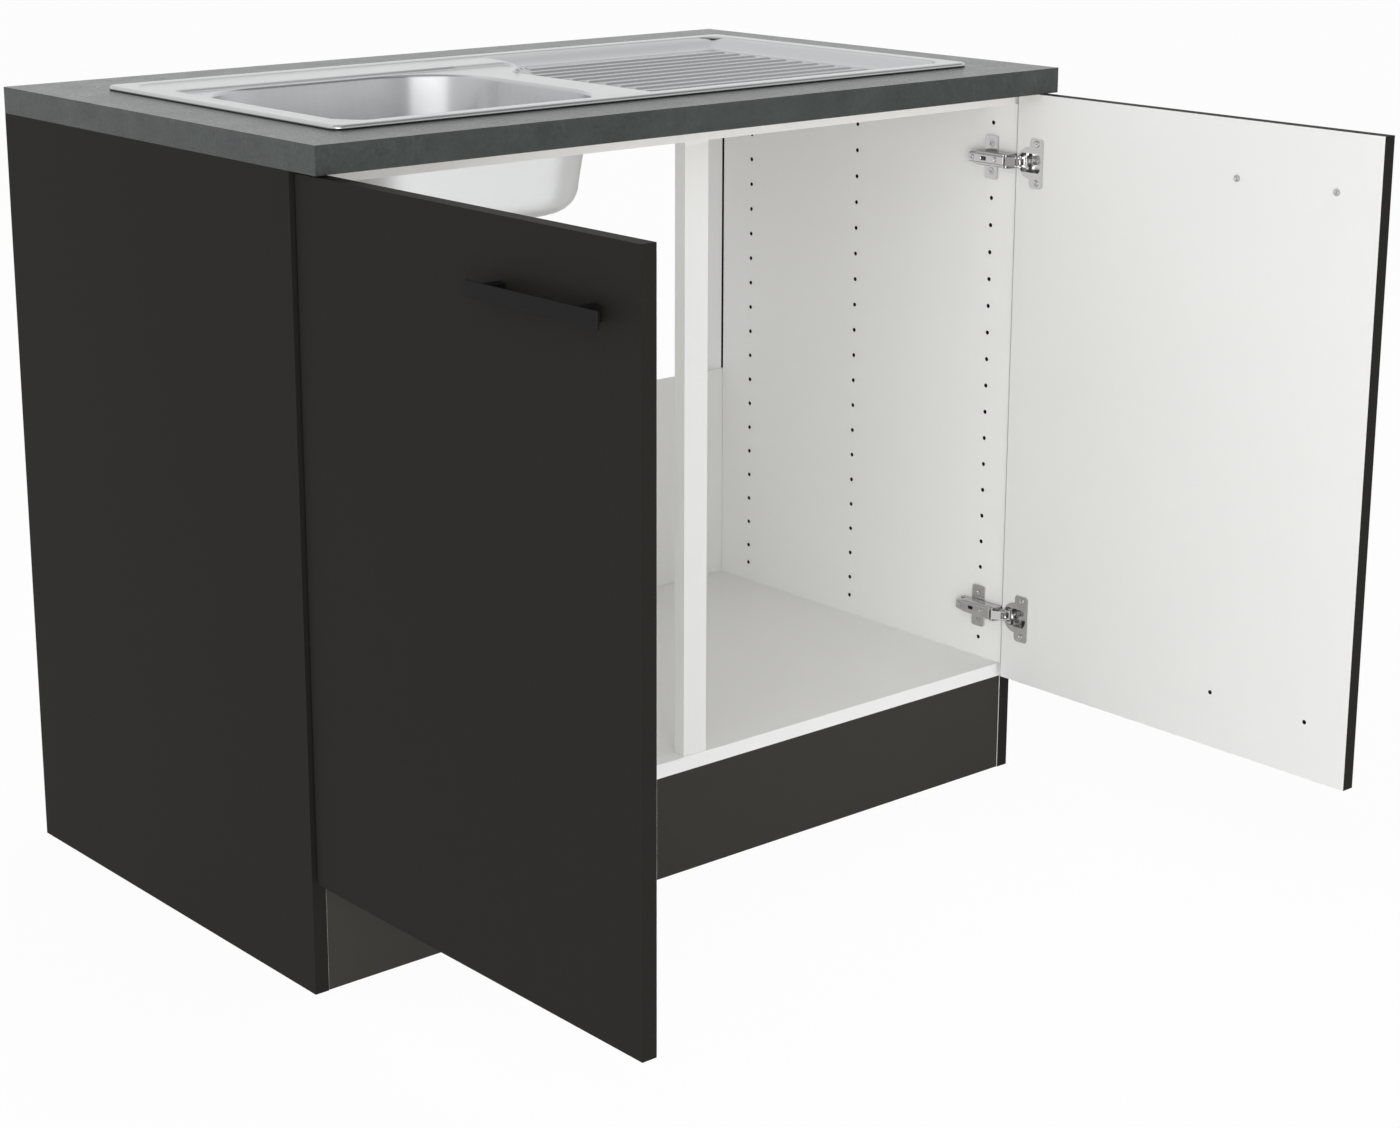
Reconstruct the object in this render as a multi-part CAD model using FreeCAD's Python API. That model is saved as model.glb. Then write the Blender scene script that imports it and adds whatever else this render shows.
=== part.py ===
import FreeCAD, Part
import math
import os

# Kitchen sink unit: a two-door base cabinet with a worktop and an inset steel sink and drainer.
# Millimetres. X runs to the right along the front, Y runs to the wall, Z up.
# The origin lies on the floor, under the middle of the plinth board.
# At rest both doors stand open at a right angle.

V = FreeCAD.Vector
Z_AXIS = V(0, 0, 1)
X_AXIS = V(1, 0, 0)
Y_AXIS = V(0, 1, 0)

# ---------------------------------------------------------------- driving dimensions
# cabinet
UNIT_WIDTH = 1000.0
WORKTOP_DEPTH = 600.0
WORKTOP_THICK = 28.0
WORKTOP_TOP = 850.0
BOARD = 16.0                    # all cabinet boards and the doors
CARCASS_DEPTH = 555.0
PLINTH_HEIGHT = 117.0
FACE_SETBACK = 1.0              # shelf and plinth behind the side panels' front edges
FRONT_RAIL_DEPTH = 48.0
REAR_RAIL_HEIGHT = 100.0
POST_WIDTH = 32.0
POST_SETBACK = 3.5
BACK_PANEL_THICK = 3.0
BACK_PANEL_TOP = 411.0
GROOVE_WIDTH = 4.0
GROOVE_DEPTH = 8.0
SERVICE_SPACE = 45.0            # free depth behind the back panel, for pipes

# line boring in the side panels
BORE_R = 2.5
BORE_DEPTH = 11.0
BORE_PITCH = 32.0
BORE_FIRST_Z = 181.0
BORE_COUNT = 19
BORE_EXTRA = 24.0               # one more hole this far below and above each row
BORE_ROWS = (37.0, 261.0, 453.0)  # from the cabinet's front edge

# knock-down fittings
DOWEL_R = 4.0
DOWEL_LENGTH = 32.0
CAM_R = 7.5
CAM_HEIGHT = 12.0
CAM_BOLT_R = 3.0
CAM_BOLT_REACH = 24.0           # from the joint to the middle of the cam
CAM_BOLT_EMBED = 11.0
SCREW_R = 2.0
SCREW_HEAD_R = 4.0
SCREW_HEAD_T = 2.2

# sink
SINK_WIDTH = 860.0
SINK_DEPTH = 435.0
SINK_SETBACK = 72.0             # worktop front edge to sink front edge
SINK_CORNER_R = 12.0
SHEET = 1.0
RIM_RISE = 5.0
RIM_BAND = 20.0                 # raised band around the sink
BAND_CORNER_R = 25.0            # inner corners of the band
BAND_STEP = 1.5
LIP_THICK = 2.0
CUTOUT_OVERLAP = 12.0
CUTOUT_CORNER_R = 15.0
BOWL_WIDTH = 340.0
BOWL_LENGTH = 320.0
BOWL_CORNER_R = 90.0
BOWL_DEPTH = 120.0
BOWL_DRAFT = 12.0               # each side draws in this much over the depth
BOWL_FLOOR_R = 28.0
BOWL_LEFT = 38.0                # sink's left edge to the bowl
BOWL_FRONT = 28.0               # sink's front edge to the bowl
SURROUND_DROP = 3.0             # bowl surround below the platform
SURROUND_MARGIN = 12.0
LEDGE_DEPTH = 58.0              # flat ledge behind the bowl
DRAINER_DEPTH = 11.5
DRAINER_SLOPE = 26.0            # width of the pan's sloping sides
DRAINER_LEFT = 420.0            # sink's left edge to the drainer pan
DRAINER_TIP = 56.0              # the ledge's tip stands this far into the pan
DRAINER_NOTCH = 76.0            # the pan's left side is cut off this far in front of the tip
RIB_STARTS = (30.0, 39.0, 41.0, 43.0, 41.0, 40.0, 24.0, 4.0, 31.0, 59.0)  # left ends, front rib first
RIB_RIGHT = 360.0               # right ends of all ribs
RIB_PITCH = 27.5
RIB_R = 5.0
RIB_RISE = 3.6
SEAL_WIDTH = 6.0
CLIP_WIDTH = 16.0
CLIP_THICK = 2.0
CLIP_FOOT = 14.0
CLIP_FOOT_DROP = 6.0            # foot below the worktop's underside

# basket strainer waste
WASTE_RECESS_R = 57.0
WASTE_RECESS_DEPTH = 3.0
WASTE_HOLE_R = 44.0
WASTE_TUBE_R = 42.5
WASTE_WALL = 1.5
WASTE_TUBE_DEPTH = 26.0
GASKET_THICK = 3.0
WASTE_BODY_R = 47.0
WASTE_BODY_WALL = 3.0
OUTLET_R = 23.9
OUTLET_BORE_R = 20.0
OUTLET_LENGTH = 24.0
WASTE_NECK = 20.0
BASKET_CLEAR = 0.3
BASKET_KNOB_R = 7.0
GRID_RING_R = 20.0              # ring of holes in the waste's floor and in the basket's
GRID_HOLE_R = 4.0
BASKET_HOLE_R = 2.5

# doors
DOOR_HEIGHT = 702.0
DOOR_WIDTH = 497.0
DOOR_TOP_GAP = 2.0              # door top to worktop underside
DOOR_REVEAL = 1.5               # door edge inside the cabinet's outer face
EDGING = 1.0
HANDLE_PITCH = 128.0
HANDLE_LENGTH = 178.0
HANDLE_HEIGHT = 15.0
HANDLE_THICK = 3.0
HANDLE_GAP = 18.0
HANDLE_POST = 10.6
HANDLE_EDGE = 119.0             # handle middle to the door's free edge
HANDLE_DROP = 63.0              # handle middle to the door's top

# cup hinges, in a plan frame of their own: u runs along the closed door from its hinge edge,
# v runs forward from the cabinet's front edge, w is the height above the hinge's middle
HINGE_HEIGHTS = (197.0, 741.0)
DOOR_GAP = 2.5                  # closed door's inner face in front of the cabinet
OPEN_FACE_INSET = 18.2             # inner face of the door when it stands open at a right angle
OPEN_EDGE_GAP = 4.2               # hinge edge of the door when it stands open
LINK_TURN = -0.237              # inner link's turn for one turn of the door
OUTER_TURN = -0.373             # outer link's turn for one turn of the door
OPEN_ANGLE = 90.0
CUP_R = 17.5
CUP_WALL = 0.8
CUP_DEPTH = 12.8
CUP_EDGE = 3.5                  # door edge to the cup
FLANGE_THICK = 1.0
FLANGE_RIM_R = 18.3
FLANGE_END = 6.0                # flange beyond its screws
FLANGE_HALF_WIDTH = 10.0
FLANGE_CORNER_R = 4.0
MOUTH_HALF = 11.0               # half height of the cup's opening in its flange
CUP_SCREW_OFFSET = 9.5
CUP_SCREW_SPACING = 45.0
DOOR_PIN_ST = (8.0, 6.75)       # inner link's pin in the cup: from the door edge, from the inner face
FORK_PIN_ST = (10.0, 1.5)       # outer link's pin in the cup
ARM_PIN_UV = (30.0, -2.0)       # outer link's pin in the arm
PIN_R = 0.8
ARM_PIN_R = 1.2
RUNNING_CLEAR = 0.05
NOSE_R = 1.4                    # arm's metal round the inner link's rivet, close to the door's edge
NOSE_PIN_R = 2.1                # and round the outer link's pin
HOOK_ROUTE_UV = ((21.85, 4.4), (21.2, 12.0), (18.4, 13.1))
HOOK_HALF = 1.45
BLADE_BEND_UV = (23.0, 10.8)
BLADE_HALF = 1.7
FORK_HALF = 2.2
FORK_SLOT_HALF = 1.4            # the slot is wider than the pin by the link's small sideways travel
FORK_TRAVEL = 2.6               # how far the pin moves back along the slot in mid swing
WEB_SHARE = 0.8                   # part of the blade's first leg that the web covers
FLANK = 1.2                     # thickness of arm, links
LAYER_GAP = 0.3
BOSS_HALF = 3.8                 # half height of the middle boss in the cup
PLATE_SCREW_PITCH = 32.0
PLATE_END = 9.5                 # plate's wings beyond their screws
PLATE_HALF_WIDTH = 9.5
PLATE_THICK = 2.5
PLATE_CORNER_R = 3.0
BLOCK_HEIGHT = 5.7
ARM_REAR_V = -62.0
ARM_NOSE_V = -6.0
ARM_FACE_U = 30.5
ARM_BASE_U = 17.4
ARM_SLOT_SETBACK = 27.0         # stamped slot behind the arm's nose

# ---------------------------------------------------------------- derived planes
HALF_W = UNIT_WIDTH / 2
FRONT = -BOARD / 2                              # cabinet's front edge
BACK = FRONT + CARCASS_DEPTH
WORKTOP_FRONT = BACK - WORKTOP_DEPTH
WORKTOP_BOTTOM = WORKTOP_TOP - WORKTOP_THICK
INNER_X = HALF_W - BOARD
SHELF_TOP = PLINTH_HEIGHT + BOARD
RAIL_BOTTOM = WORKTOP_BOTTOM - BOARD
GROOVE_FRONT = BACK - SERVICE_SPACE - GROOVE_WIDTH
REAR_RAIL_BACK = BACK
DOOR_TOP = WORKTOP_BOTTOM - DOOR_TOP_GAP
DOOR_BOTTOM = DOOR_TOP - DOOR_HEIGHT
HINGE_X = -(HALF_W - DOOR_REVEAL)               # left door's hinge edge when closed

SINK_LEFT = -SINK_WIDTH / 2
SINK_RIGHT = SINK_WIDTH / 2
SINK_FRONT = WORKTOP_FRONT + SINK_SETBACK
SINK_BACK = SINK_FRONT + SINK_DEPTH
SINK_TOP = WORKTOP_TOP + RIM_RISE
PLATFORM_Z = SINK_TOP - BAND_STEP
SURROUND_Z = PLATFORM_Z - SURROUND_DROP
DRAINER_Z = PLATFORM_Z - DRAINER_DEPTH
BOWL_FLOOR_Z = SURROUND_Z - BOWL_DEPTH
BOWL_X = SINK_LEFT + BOWL_LEFT + BOWL_WIDTH / 2
BOWL_Y = SINK_FRONT + BOWL_FRONT + BOWL_LENGTH / 2
WASTE_SEAT_Z = BOWL_FLOOR_Z - WASTE_RECESS_DEPTH

# hinge layers by height from the hinge's middle
LINK_IN = BOSS_HALF + LAYER_GAP
LINK_OUT = LINK_IN + FLANK
HOOK_IN = LINK_OUT + LAYER_GAP
HOOK_OUT = HOOK_IN + FLANK
CHEEK_IN = HOOK_OUT + LAYER_GAP
CHEEK_OUT = CHEEK_IN + FLANK
CUP_S = CUP_EDGE + CUP_R
FLANGE_HALF_HEIGHT = CUP_SCREW_SPACING / 2 + FLANGE_END
PLATE_HALF_HEIGHT = PLATE_SCREW_PITCH / 2 + PLATE_END


# ---------------------------------------------------------------- small tools
def box(x0, y0, z0, x1, y1, z1):
    return Part.makeBox(x1 - x0, y1 - y0, z1 - z0, V(x0, y0, z0))


def rod(start, direction, radius, length):
    return Part.makeCylinder(radius, length, start, direction)


def fuse(shapes):
    shapes = list(shapes)
    whole = shapes[0] if len(shapes) == 1 else shapes[0].multiFuse(shapes[1:])
    return whole.removeSplitter()


def cut(shape, tools):
    tools = list(tools)
    return shape.cut(tools) if tools else shape


def rounded_polygon(points, radius, z):
    """A closed wire through points in order, each corner rounded by an arc of the radius."""
    n = len(points)
    corners = []
    for i in range(n):
        p, a, b = V(*points[i], z), V(*points[i - 1], z), V(*points[(i + 1) % n], z)
        to_a = (a - p).normalize()
        to_b = (b - p).normalize()
        half = to_a.getAngle(to_b) / 2
        back = radius / math.tan(half)
        middle = p + (to_a + to_b).normalize() * (radius / math.sin(half) - radius)
        corners.append((p + to_a * back, middle, p + to_b * back))
    edges = []
    for i in range(n):
        start, middle, end = corners[i]
        edges.append(Part.Arc(start, middle, end).toShape())
        following = corners[(i + 1) % n][0]
        if (following - end).Length > 1e-6:
            edges.append(Part.makeLine(end, following))
    return Part.Wire(edges)


def rect_points(x0, y0, x1, y1):
    return [(x0, y0), (x1, y0), (x1, y1), (x0, y1)]


def rounded_slab(points, radius, z0, z1):
    face = Part.Face(rounded_polygon(points, radius, z0))
    return face.extrude(V(0, 0, z1 - z0))


def strip(points, half_width, z0, z1):
    """A flat bar with round ends and round bends that follows points, cut from sheet."""
    parts = [Part.makeCylinder(half_width, z1 - z0, V(x, y, z0)) for x, y in points]
    for (xa, ya), (xb, yb) in zip(points, points[1:]):
        length = math.hypot(xb - xa, yb - ya)
        bar = Part.makeBox(length, 2 * half_width, z1 - z0, V(0, -half_width, 0))
        bar.rotate(V(0, 0, 0), Z_AXIS, math.degrees(math.atan2(yb - ya, xb - xa)))
        bar.translate(V(xa, ya, z0))
        parts.append(bar)
    return fuse(parts)


def prism(points, z0, z1):
    corners = [V(x, y, z0) for x, y in points]
    face = Part.Face(Part.makePolygon(corners + corners[:1]))
    return face.extrude(V(0, 0, z1 - z0))


def both_heights(shape):
    """A copy of a hinge piece at each of the two hinge heights."""
    copies = []
    for height in HINGE_HEIGHTS:
        copy = shape.copy()
        copy.translate(V(0, 0, height))
        copies.append(copy)
    return copies


def mirrored(shapes):
    return [s.mirror(V(0, 0, 0), X_AXIS) for s in shapes]


def solids_of(shapes):
    return [solid for shape in shapes for solid in shape.Solids]


def save(node, shapes):
    solids = solids_of(shapes)
    whole = solids[0] if len(solids) == 1 else Part.makeCompound(solids)
    whole.exportStep("parts/%s.step" % node)
    return solids


# ---------------------------------------------------------------- cabinet fittings
def side_joints():
    """Heights and depths, on the left side, of the dowels and cams that hold each cross board."""
    shelf_mid = PLINTH_HEIGHT + BOARD / 2
    rail_mid = RAIL_BOTTOM + BOARD / 2
    rear_y = REAR_RAIL_BACK - BOARD / 2
    inset = 40.0
    shelf_cams = [(FRONT + inset, shelf_mid), (GROOVE_FRONT - inset, shelf_mid)]
    shelf_dowels = [(FRONT + 2 * inset, shelf_mid), (GROOVE_FRONT - 2 * inset, shelf_mid)]
    rail_cams = [(FRONT + FRONT_RAIL_DEPTH / 4, rail_mid)]
    rail_dowels = [(FRONT + 3 * FRONT_RAIL_DEPTH / 4, rail_mid)]
    rear_cams = [(rear_y, WORKTOP_BOTTOM - REAR_RAIL_HEIGHT / 4)]
    rear_dowels = [(rear_y, WORKTOP_BOTTOM - 3 * REAR_RAIL_HEIGHT / 4)]
    return shelf_cams + rail_cams, rear_cams, shelf_dowels + rail_dowels + rear_dowels


def left_dowels():
    flat, rear, dowels = side_joints()
    start = -INNER_X - BOARD * 0.625
    return [rod(V(start, y, z), X_AXIS, DOWEL_R, DOWEL_LENGTH) for y, z in dowels]


def upright_dowels():
    """Dowels that stand in the shelf: under the post, in the front rail above it, in the plinth."""
    y_post = FRONT + POST_SETBACK + BOARD / 2
    length = BOARD * 1.5
    pegs = [rod(V(0, y_post, SHELF_TOP - BOARD * 0.625), Z_AXIS, DOWEL_R, length)]
    pegs.append(rod(V(0, y_post, RAIL_BOTTOM + BOARD * 0.625 - length), Z_AXIS, DOWEL_R, length))
    y_plinth = FRONT + FACE_SETBACK + BOARD / 2
    for x in (-HALF_W / 2, HALF_W / 2):
        foot = V(x, y_plinth, PLINTH_HEIGHT + BOARD * 0.625 - length)
        pegs.append(rod(foot, Z_AXIS, DOWEL_R, length))
    return pegs


def left_cam_bolts():
    flat, rear, dowels = side_joints()
    start = -INNER_X - CAM_BOLT_EMBED
    return [rod(V(start, y, z), X_AXIS, CAM_BOLT_R, CAM_BOLT_EMBED + CAM_BOLT_REACH - CAM_R)
            for y, z in flat + rear]


def left_cams():
    flat, rear, dowels = side_joints()
    x = -INNER_X + CAM_BOLT_REACH
    lying = [rod(V(x, y, z - BOARD / 2), Z_AXIS, CAM_R, CAM_HEIGHT) for y, z in flat]
    standing = [rod(V(x, y - BOARD / 2, z), Y_AXIS, CAM_R, CAM_HEIGHT) for y, z in rear]
    return lying + standing


def both_sides(shapes):
    return shapes + mirrored(shapes)


DOWELS = both_sides(left_dowels()) + upright_dowels()
CAM_BOLTS = both_sides(left_cam_bolts())
CAMS = both_sides(left_cams())
FITTINGS = DOWELS + CAM_BOLTS + CAMS


def bored(board):
    """The board with the holes that its dowels, cam bolts and cams sit in."""
    near = [f for f in FITTINGS if board.BoundBox.intersect(f.BoundBox)]
    return cut(board, near)


# ---------------------------------------------------------------- cabinet boards
def bore_heights():
    last = BORE_FIRST_Z + BORE_PITCH * (BORE_COUNT - 1)
    row = [BORE_FIRST_Z + BORE_PITCH * i for i in range(BORE_COUNT)]
    return [BORE_FIRST_Z - BORE_EXTRA] + row + [last + BORE_EXTRA]


def side_panel():
    panel = box(-HALF_W, FRONT, 0, -INNER_X, BACK, WORKTOP_BOTTOM)
    groove = box(-INNER_X - GROOVE_DEPTH, GROOVE_FRONT, SHELF_TOP - GROOVE_DEPTH,
                 -INNER_X, GROOVE_FRONT + GROOVE_WIDTH, WORKTOP_BOTTOM)
    holes = [rod(V(-INNER_X - BORE_DEPTH, FRONT + row, z), X_AXIS, BORE_R, BORE_DEPTH)
             for row in BORE_ROWS for z in bore_heights()]
    return cut(bored(panel), [groove] + holes)


def bottom_shelf():
    shelf = box(-INNER_X, FRONT + FACE_SETBACK, PLINTH_HEIGHT, INNER_X, BACK, SHELF_TOP)
    groove = box(-INNER_X, GROOVE_FRONT, SHELF_TOP - GROOVE_DEPTH,
                 INNER_X, GROOVE_FRONT + GROOVE_WIDTH, SHELF_TOP)
    return cut(bored(shelf), [groove])


def plinth_board():
    y = FRONT + FACE_SETBACK
    return bored(box(-INNER_X, y, 0, INNER_X, y + BOARD, PLINTH_HEIGHT))


def rail_screw_places():
    y = FRONT + FRONT_RAIL_DEPTH / 2
    return [(part * HALF_W, y) for part in (-0.6, -0.2, 0.2, 0.6)]


def worktop_screws():
    screws = []
    for x, y in rail_screw_places():
        head = rod(V(x, y, RAIL_BOTTOM - SCREW_HEAD_T), Z_AXIS, SCREW_HEAD_R, SCREW_HEAD_T)
        shank = rod(V(x, y, RAIL_BOTTOM), Z_AXIS, SCREW_R, BOARD + WORKTOP_THICK / 2)
        screws.append(head.fuse(shank))
    return screws


def front_rail():
    rail = box(-INNER_X, FRONT, RAIL_BOTTOM, INNER_X, FRONT + FRONT_RAIL_DEPTH, WORKTOP_BOTTOM)
    return cut(bored(rail), worktop_screws())


def rear_rail():
    return bored(box(-INNER_X, REAR_RAIL_BACK - BOARD, WORKTOP_BOTTOM - REAR_RAIL_HEIGHT,
                     INNER_X, REAR_RAIL_BACK, WORKTOP_BOTTOM))


def centre_post():
    y = FRONT + POST_SETBACK
    return bored(box(-POST_WIDTH / 2, y, SHELF_TOP, POST_WIDTH / 2, y + BOARD, RAIL_BOTTOM))


def back_panel():
    reach = INNER_X + GROOVE_DEPTH - 1
    y = GROOVE_FRONT + (GROOVE_WIDTH - BACK_PANEL_THICK) / 2
    return box(-reach, y, SHELF_TOP - GROOVE_DEPTH + 1, reach, y + BACK_PANEL_THICK, BACK_PANEL_TOP)


def worktop():
    top = box(-HALF_W, WORKTOP_FRONT, WORKTOP_BOTTOM, HALF_W, BACK, WORKTOP_TOP)
    hole = sink_slab(CUTOUT_OVERLAP, CUTOUT_CORNER_R, WORKTOP_BOTTOM, WORKTOP_TOP)
    return cut(top, [hole] + worktop_screws())


# ---------------------------------------------------------------- sink pressing
def sink_slab(inset, radius, z0, z1):
    points = rect_points(SINK_LEFT + inset, SINK_FRONT + inset, SINK_RIGHT - inset, SINK_BACK - inset)
    return rounded_slab(points, radius, z0, z1)


def bowl_solid(grow):
    """The bowl's space, or its outside when grown by the sheet: a drafted square with round corners."""
    wires = []
    for z, draw in ((SURROUND_Z + SHEET, 0.0), (BOWL_FLOOR_Z - grow, BOWL_DRAFT)):
        half_x = BOWL_WIDTH / 2 - draw + grow
        half_y = BOWL_LENGTH / 2 - draw + grow
        points = rect_points(BOWL_X - half_x, BOWL_Y - half_y, BOWL_X + half_x, BOWL_Y + half_y)
        wires.append(rounded_polygon(points, BOWL_CORNER_R - draw / 2 + grow, z))
    body = Part.makeLoft(wires, True, True)
    low = [e for e in body.Edges if e.BoundBox.ZMax < BOWL_FLOOR_Z - grow + 0.01]
    return body.makeFillet(BOWL_FLOOR_R + grow, low)


def surround_solid(grow):
    """The shallow tray around the bowl, which runs into the drainer."""
    x0 = SINK_LEFT + RIM_BAND + SURROUND_MARGIN - grow
    x1 = SINK_LEFT + DRAINER_LEFT + DRAINER_SLOPE + grow
    y0 = SINK_FRONT + RIM_BAND + 2.0 - grow
    y1 = SINK_BACK - RIM_BAND - LEDGE_DEPTH + grow
    return rounded_slab(rect_points(x0, y0, x1, y1), 12.0, SURROUND_Z - grow, PLATFORM_Z + 0.5 * SHEET)


def drainer_outline(inset):
    """The drainer pan's corners: square at the right, stepped round the bowl's ledge at the left."""
    left = SINK_LEFT + DRAINER_LEFT + inset
    right = SINK_RIGHT - RIM_BAND - 1.0 - inset
    front = SINK_FRONT + RIM_BAND + 2.0 + inset
    back = SINK_BACK - RIM_BAND - inset
    tip_x = SINK_LEFT + DRAINER_LEFT + DRAINER_TIP + 0.5 * inset
    tip_y = SINK_BACK - RIM_BAND - LEDGE_DEPTH - 0.6 * inset
    return [(left, front), (right, front), (right, back), (tip_x + 8.0, back),
            (tip_x, tip_y), (left, tip_y - DRAINER_NOTCH)]


def drainer_solid(grow):
    top = rounded_polygon(drainer_outline(-grow), 12.0 + grow, PLATFORM_Z + 0.5 * SHEET)
    floor = rounded_polygon(drainer_outline(DRAINER_SLOPE - grow), 8.0 + grow, DRAINER_Z - grow)
    return Part.makeLoft([top, floor], True, True)


def ribs():
    """Raised ribs on the drainer's floor, all along X, round at both ends."""
    outline = drainer_outline(DRAINER_SLOPE)
    middle = (outline[0][1] + outline[2][1]) / 2
    bars = []
    for i, x0 in enumerate(RIB_STARTS):
        y = middle + (i - (len(RIB_STARTS) - 1) / 2) * RIB_PITCH
        z = DRAINER_Z + RIB_RISE - RIB_R
        bars.append(rod(V(x0, y, z), X_AXIS, RIB_R, RIB_RIGHT - x0))
        bars.extend(Part.makeSphere(RIB_R, V(x, y, z)) for x in (x0, RIB_RIGHT))
    below = box(SINK_LEFT, SINK_FRONT, DRAINER_Z - 4 * RIB_R,
                SINK_RIGHT, SINK_BACK, DRAINER_Z - 0.5 * SHEET)
    return [bar.cut(below) for bar in bars]


def sink():
    rim = sink_slab(0, SINK_CORNER_R, WORKTOP_TOP + 0.3, SINK_TOP)
    hollow = sink_slab(LIP_THICK, SINK_CORNER_R - LIP_THICK, WORKTOP_TOP, SINK_TOP - SHEET)
    rim_shell = rim.cut(hollow)
    platform = sink_slab(RIM_BAND - SHEET, BAND_CORNER_R + SHEET,
                         PLATFORM_Z - SHEET, SINK_TOP - 0.5 * SHEET)
    recess = rod(V(BOWL_X, BOWL_Y, WASTE_SEAT_Z - SHEET), Z_AXIS, WASTE_RECESS_R + SHEET,
                 WASTE_RECESS_DEPTH + SHEET)
    outside = fuse([rim_shell, platform, surround_solid(SHEET), drainer_solid(SHEET),
                    bowl_solid(SHEET), recess])
    spaces = [sink_slab(RIM_BAND, BAND_CORNER_R, PLATFORM_Z, SINK_TOP), surround_solid(0), drainer_solid(0),
              bowl_solid(0),
              rod(V(BOWL_X, BOWL_Y, WASTE_SEAT_Z), Z_AXIS, WASTE_RECESS_R, WASTE_RECESS_DEPTH + SHEET),
              rod(V(BOWL_X, BOWL_Y, WASTE_SEAT_Z - 2 * SHEET), Z_AXIS, WASTE_HOLE_R, BOWL_DEPTH)]
    return fuse([cut(outside, spaces)] + ribs())


def sink_seal():
    """Foam strip under the rim, inside the turned-down lip."""
    outer = sink_slab(LIP_THICK, SINK_CORNER_R - LIP_THICK, WORKTOP_TOP, SINK_TOP - SHEET)
    inner = sink_slab(LIP_THICK + SEAL_WIDTH, SINK_CORNER_R - LIP_THICK - SEAL_WIDTH + 1.0,
                      WORKTOP_TOP, SINK_TOP - SHEET)
    return outer.cut(inner)


def clip_places():
    """Where the clips stand in the cut-out: x, y of the leg, and the quarter turns of its foot."""
    edge = CUTOUT_OVERLAP + 0.3
    ys = [SINK_FRONT + SINK_DEPTH * f for f in (0.25, 0.75)]
    sides = [(SINK_LEFT + edge, y, 2) for y in ys] + [(SINK_RIGHT - edge, y, 0) for y in ys]
    rear = [(SINK_LEFT + SINK_WIDTH * f, SINK_BACK - edge, 1) for f in (0.12, 0.37, 0.63, 0.88)]
    return sides + rear


def clip_and_screw():
    """One clip with its foot along +X: a leg in the cut-out, a foot under the worktop, a screw."""
    foot_z = WORKTOP_BOTTOM - CLIP_FOOT_DROP
    leg = box(-CLIP_THICK, -CLIP_WIDTH / 2, foot_z, 0, CLIP_WIDTH / 2, SINK_TOP - SHEET)
    foot = box(-CLIP_THICK, -CLIP_WIDTH / 2, foot_z - CLIP_THICK, CLIP_FOOT, CLIP_WIDTH / 2, foot_z)
    mid = CLIP_FOOT / 2 + 2
    hole = rod(V(mid, 0, foot_z - CLIP_THICK), Z_AXIS, SCREW_R, CLIP_THICK)
    length = WORKTOP_BOTTOM - foot_z + 3 * CLIP_THICK
    shank = rod(V(mid, 0, foot_z - 3 * CLIP_THICK), Z_AXIS, SCREW_R, length)
    head = rod(V(mid, 0, foot_z - 4 * CLIP_THICK), Z_AXIS, SCREW_HEAD_R, CLIP_THICK)
    return fuse([leg, foot]).cut(hole), fuse([shank, head])


def sink_clips():
    clips, screws = [], []
    for x, y, quarters in clip_places():
        for kind, shape in zip((clips, screws), clip_and_screw()):
            shape.rotate(V(0, 0, 0), Z_AXIS, math.degrees(quarters * math.pi / 2))
            shape.translate(V(x, y, 0))
            kind.append(shape)
    return clips, screws


# ---------------------------------------------------------------- basket strainer waste
def turned(profile):
    """A solid turned about the bowl's axis from a closed profile of (radius, height)."""
    points = [V(BOWL_X + r, BOWL_Y, z) for r, z in profile]
    face = Part.Face(Part.makePolygon(points + points[:1]))
    return face.revolve(V(BOWL_X, BOWL_Y, 0), Z_AXIS, 360)


def round_holes(radius, count, ring, z0, z1):
    holes = []
    for i in range(count):
        a = 2 * math.pi * i / count
        place = V(BOWL_X + ring * math.cos(a), BOWL_Y + ring * math.sin(a), z0)
        holes.append(rod(place, Z_AXIS, radius, z1 - z0))
    return holes


TUBE_FLOOR_Z = WASTE_SEAT_Z - WASTE_TUBE_DEPTH
GASKET_Z = WASTE_SEAT_Z - SHEET - GASKET_THICK
BODY_FLOOR_Z = TUBE_FLOOR_Z - 8.0
OUTLET_TOP_Z = BODY_FLOOR_Z - WASTE_NECK


def waste_flange():
    """Pressed steel cup with a flat rim in the bowl's recess and an outlet grid in its floor."""
    rim_z = WASTE_SEAT_Z + WASTE_RECESS_DEPTH - 0.5
    inner = WASTE_TUBE_R - WASTE_WALL
    cup = turned([(0, TUBE_FLOOR_Z), (WASTE_TUBE_R, TUBE_FLOOR_Z), (WASTE_TUBE_R, WASTE_SEAT_Z),
                  (WASTE_RECESS_R - 1.0, WASTE_SEAT_Z), (WASTE_RECESS_R - 1.0, WASTE_SEAT_Z + 1.0),
                  (WASTE_TUBE_R + 1.5, rim_z), (inner, rim_z - 1.0),
                  (inner, TUBE_FLOOR_Z + WASTE_WALL), (0, TUBE_FLOOR_Z + WASTE_WALL)])
    grid = round_holes(GRID_HOLE_R, 8, GRID_RING_R, TUBE_FLOOR_Z - 1, TUBE_FLOOR_Z + 2 * WASTE_WALL)
    screw = rod(V(BOWL_X, BOWL_Y, TUBE_FLOOR_Z - 1), Z_AXIS, SCREW_R + 1, 3 * WASTE_WALL)
    return cut(cup, grid + [screw])


def waste_gasket():
    return turned([(WASTE_HOLE_R - 1, GASKET_Z), (WASTE_RECESS_R, GASKET_Z),
                   (WASTE_RECESS_R, GASKET_Z + GASKET_THICK), (WASTE_HOLE_R - 1, GASKET_Z + GASKET_THICK)])


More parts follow.
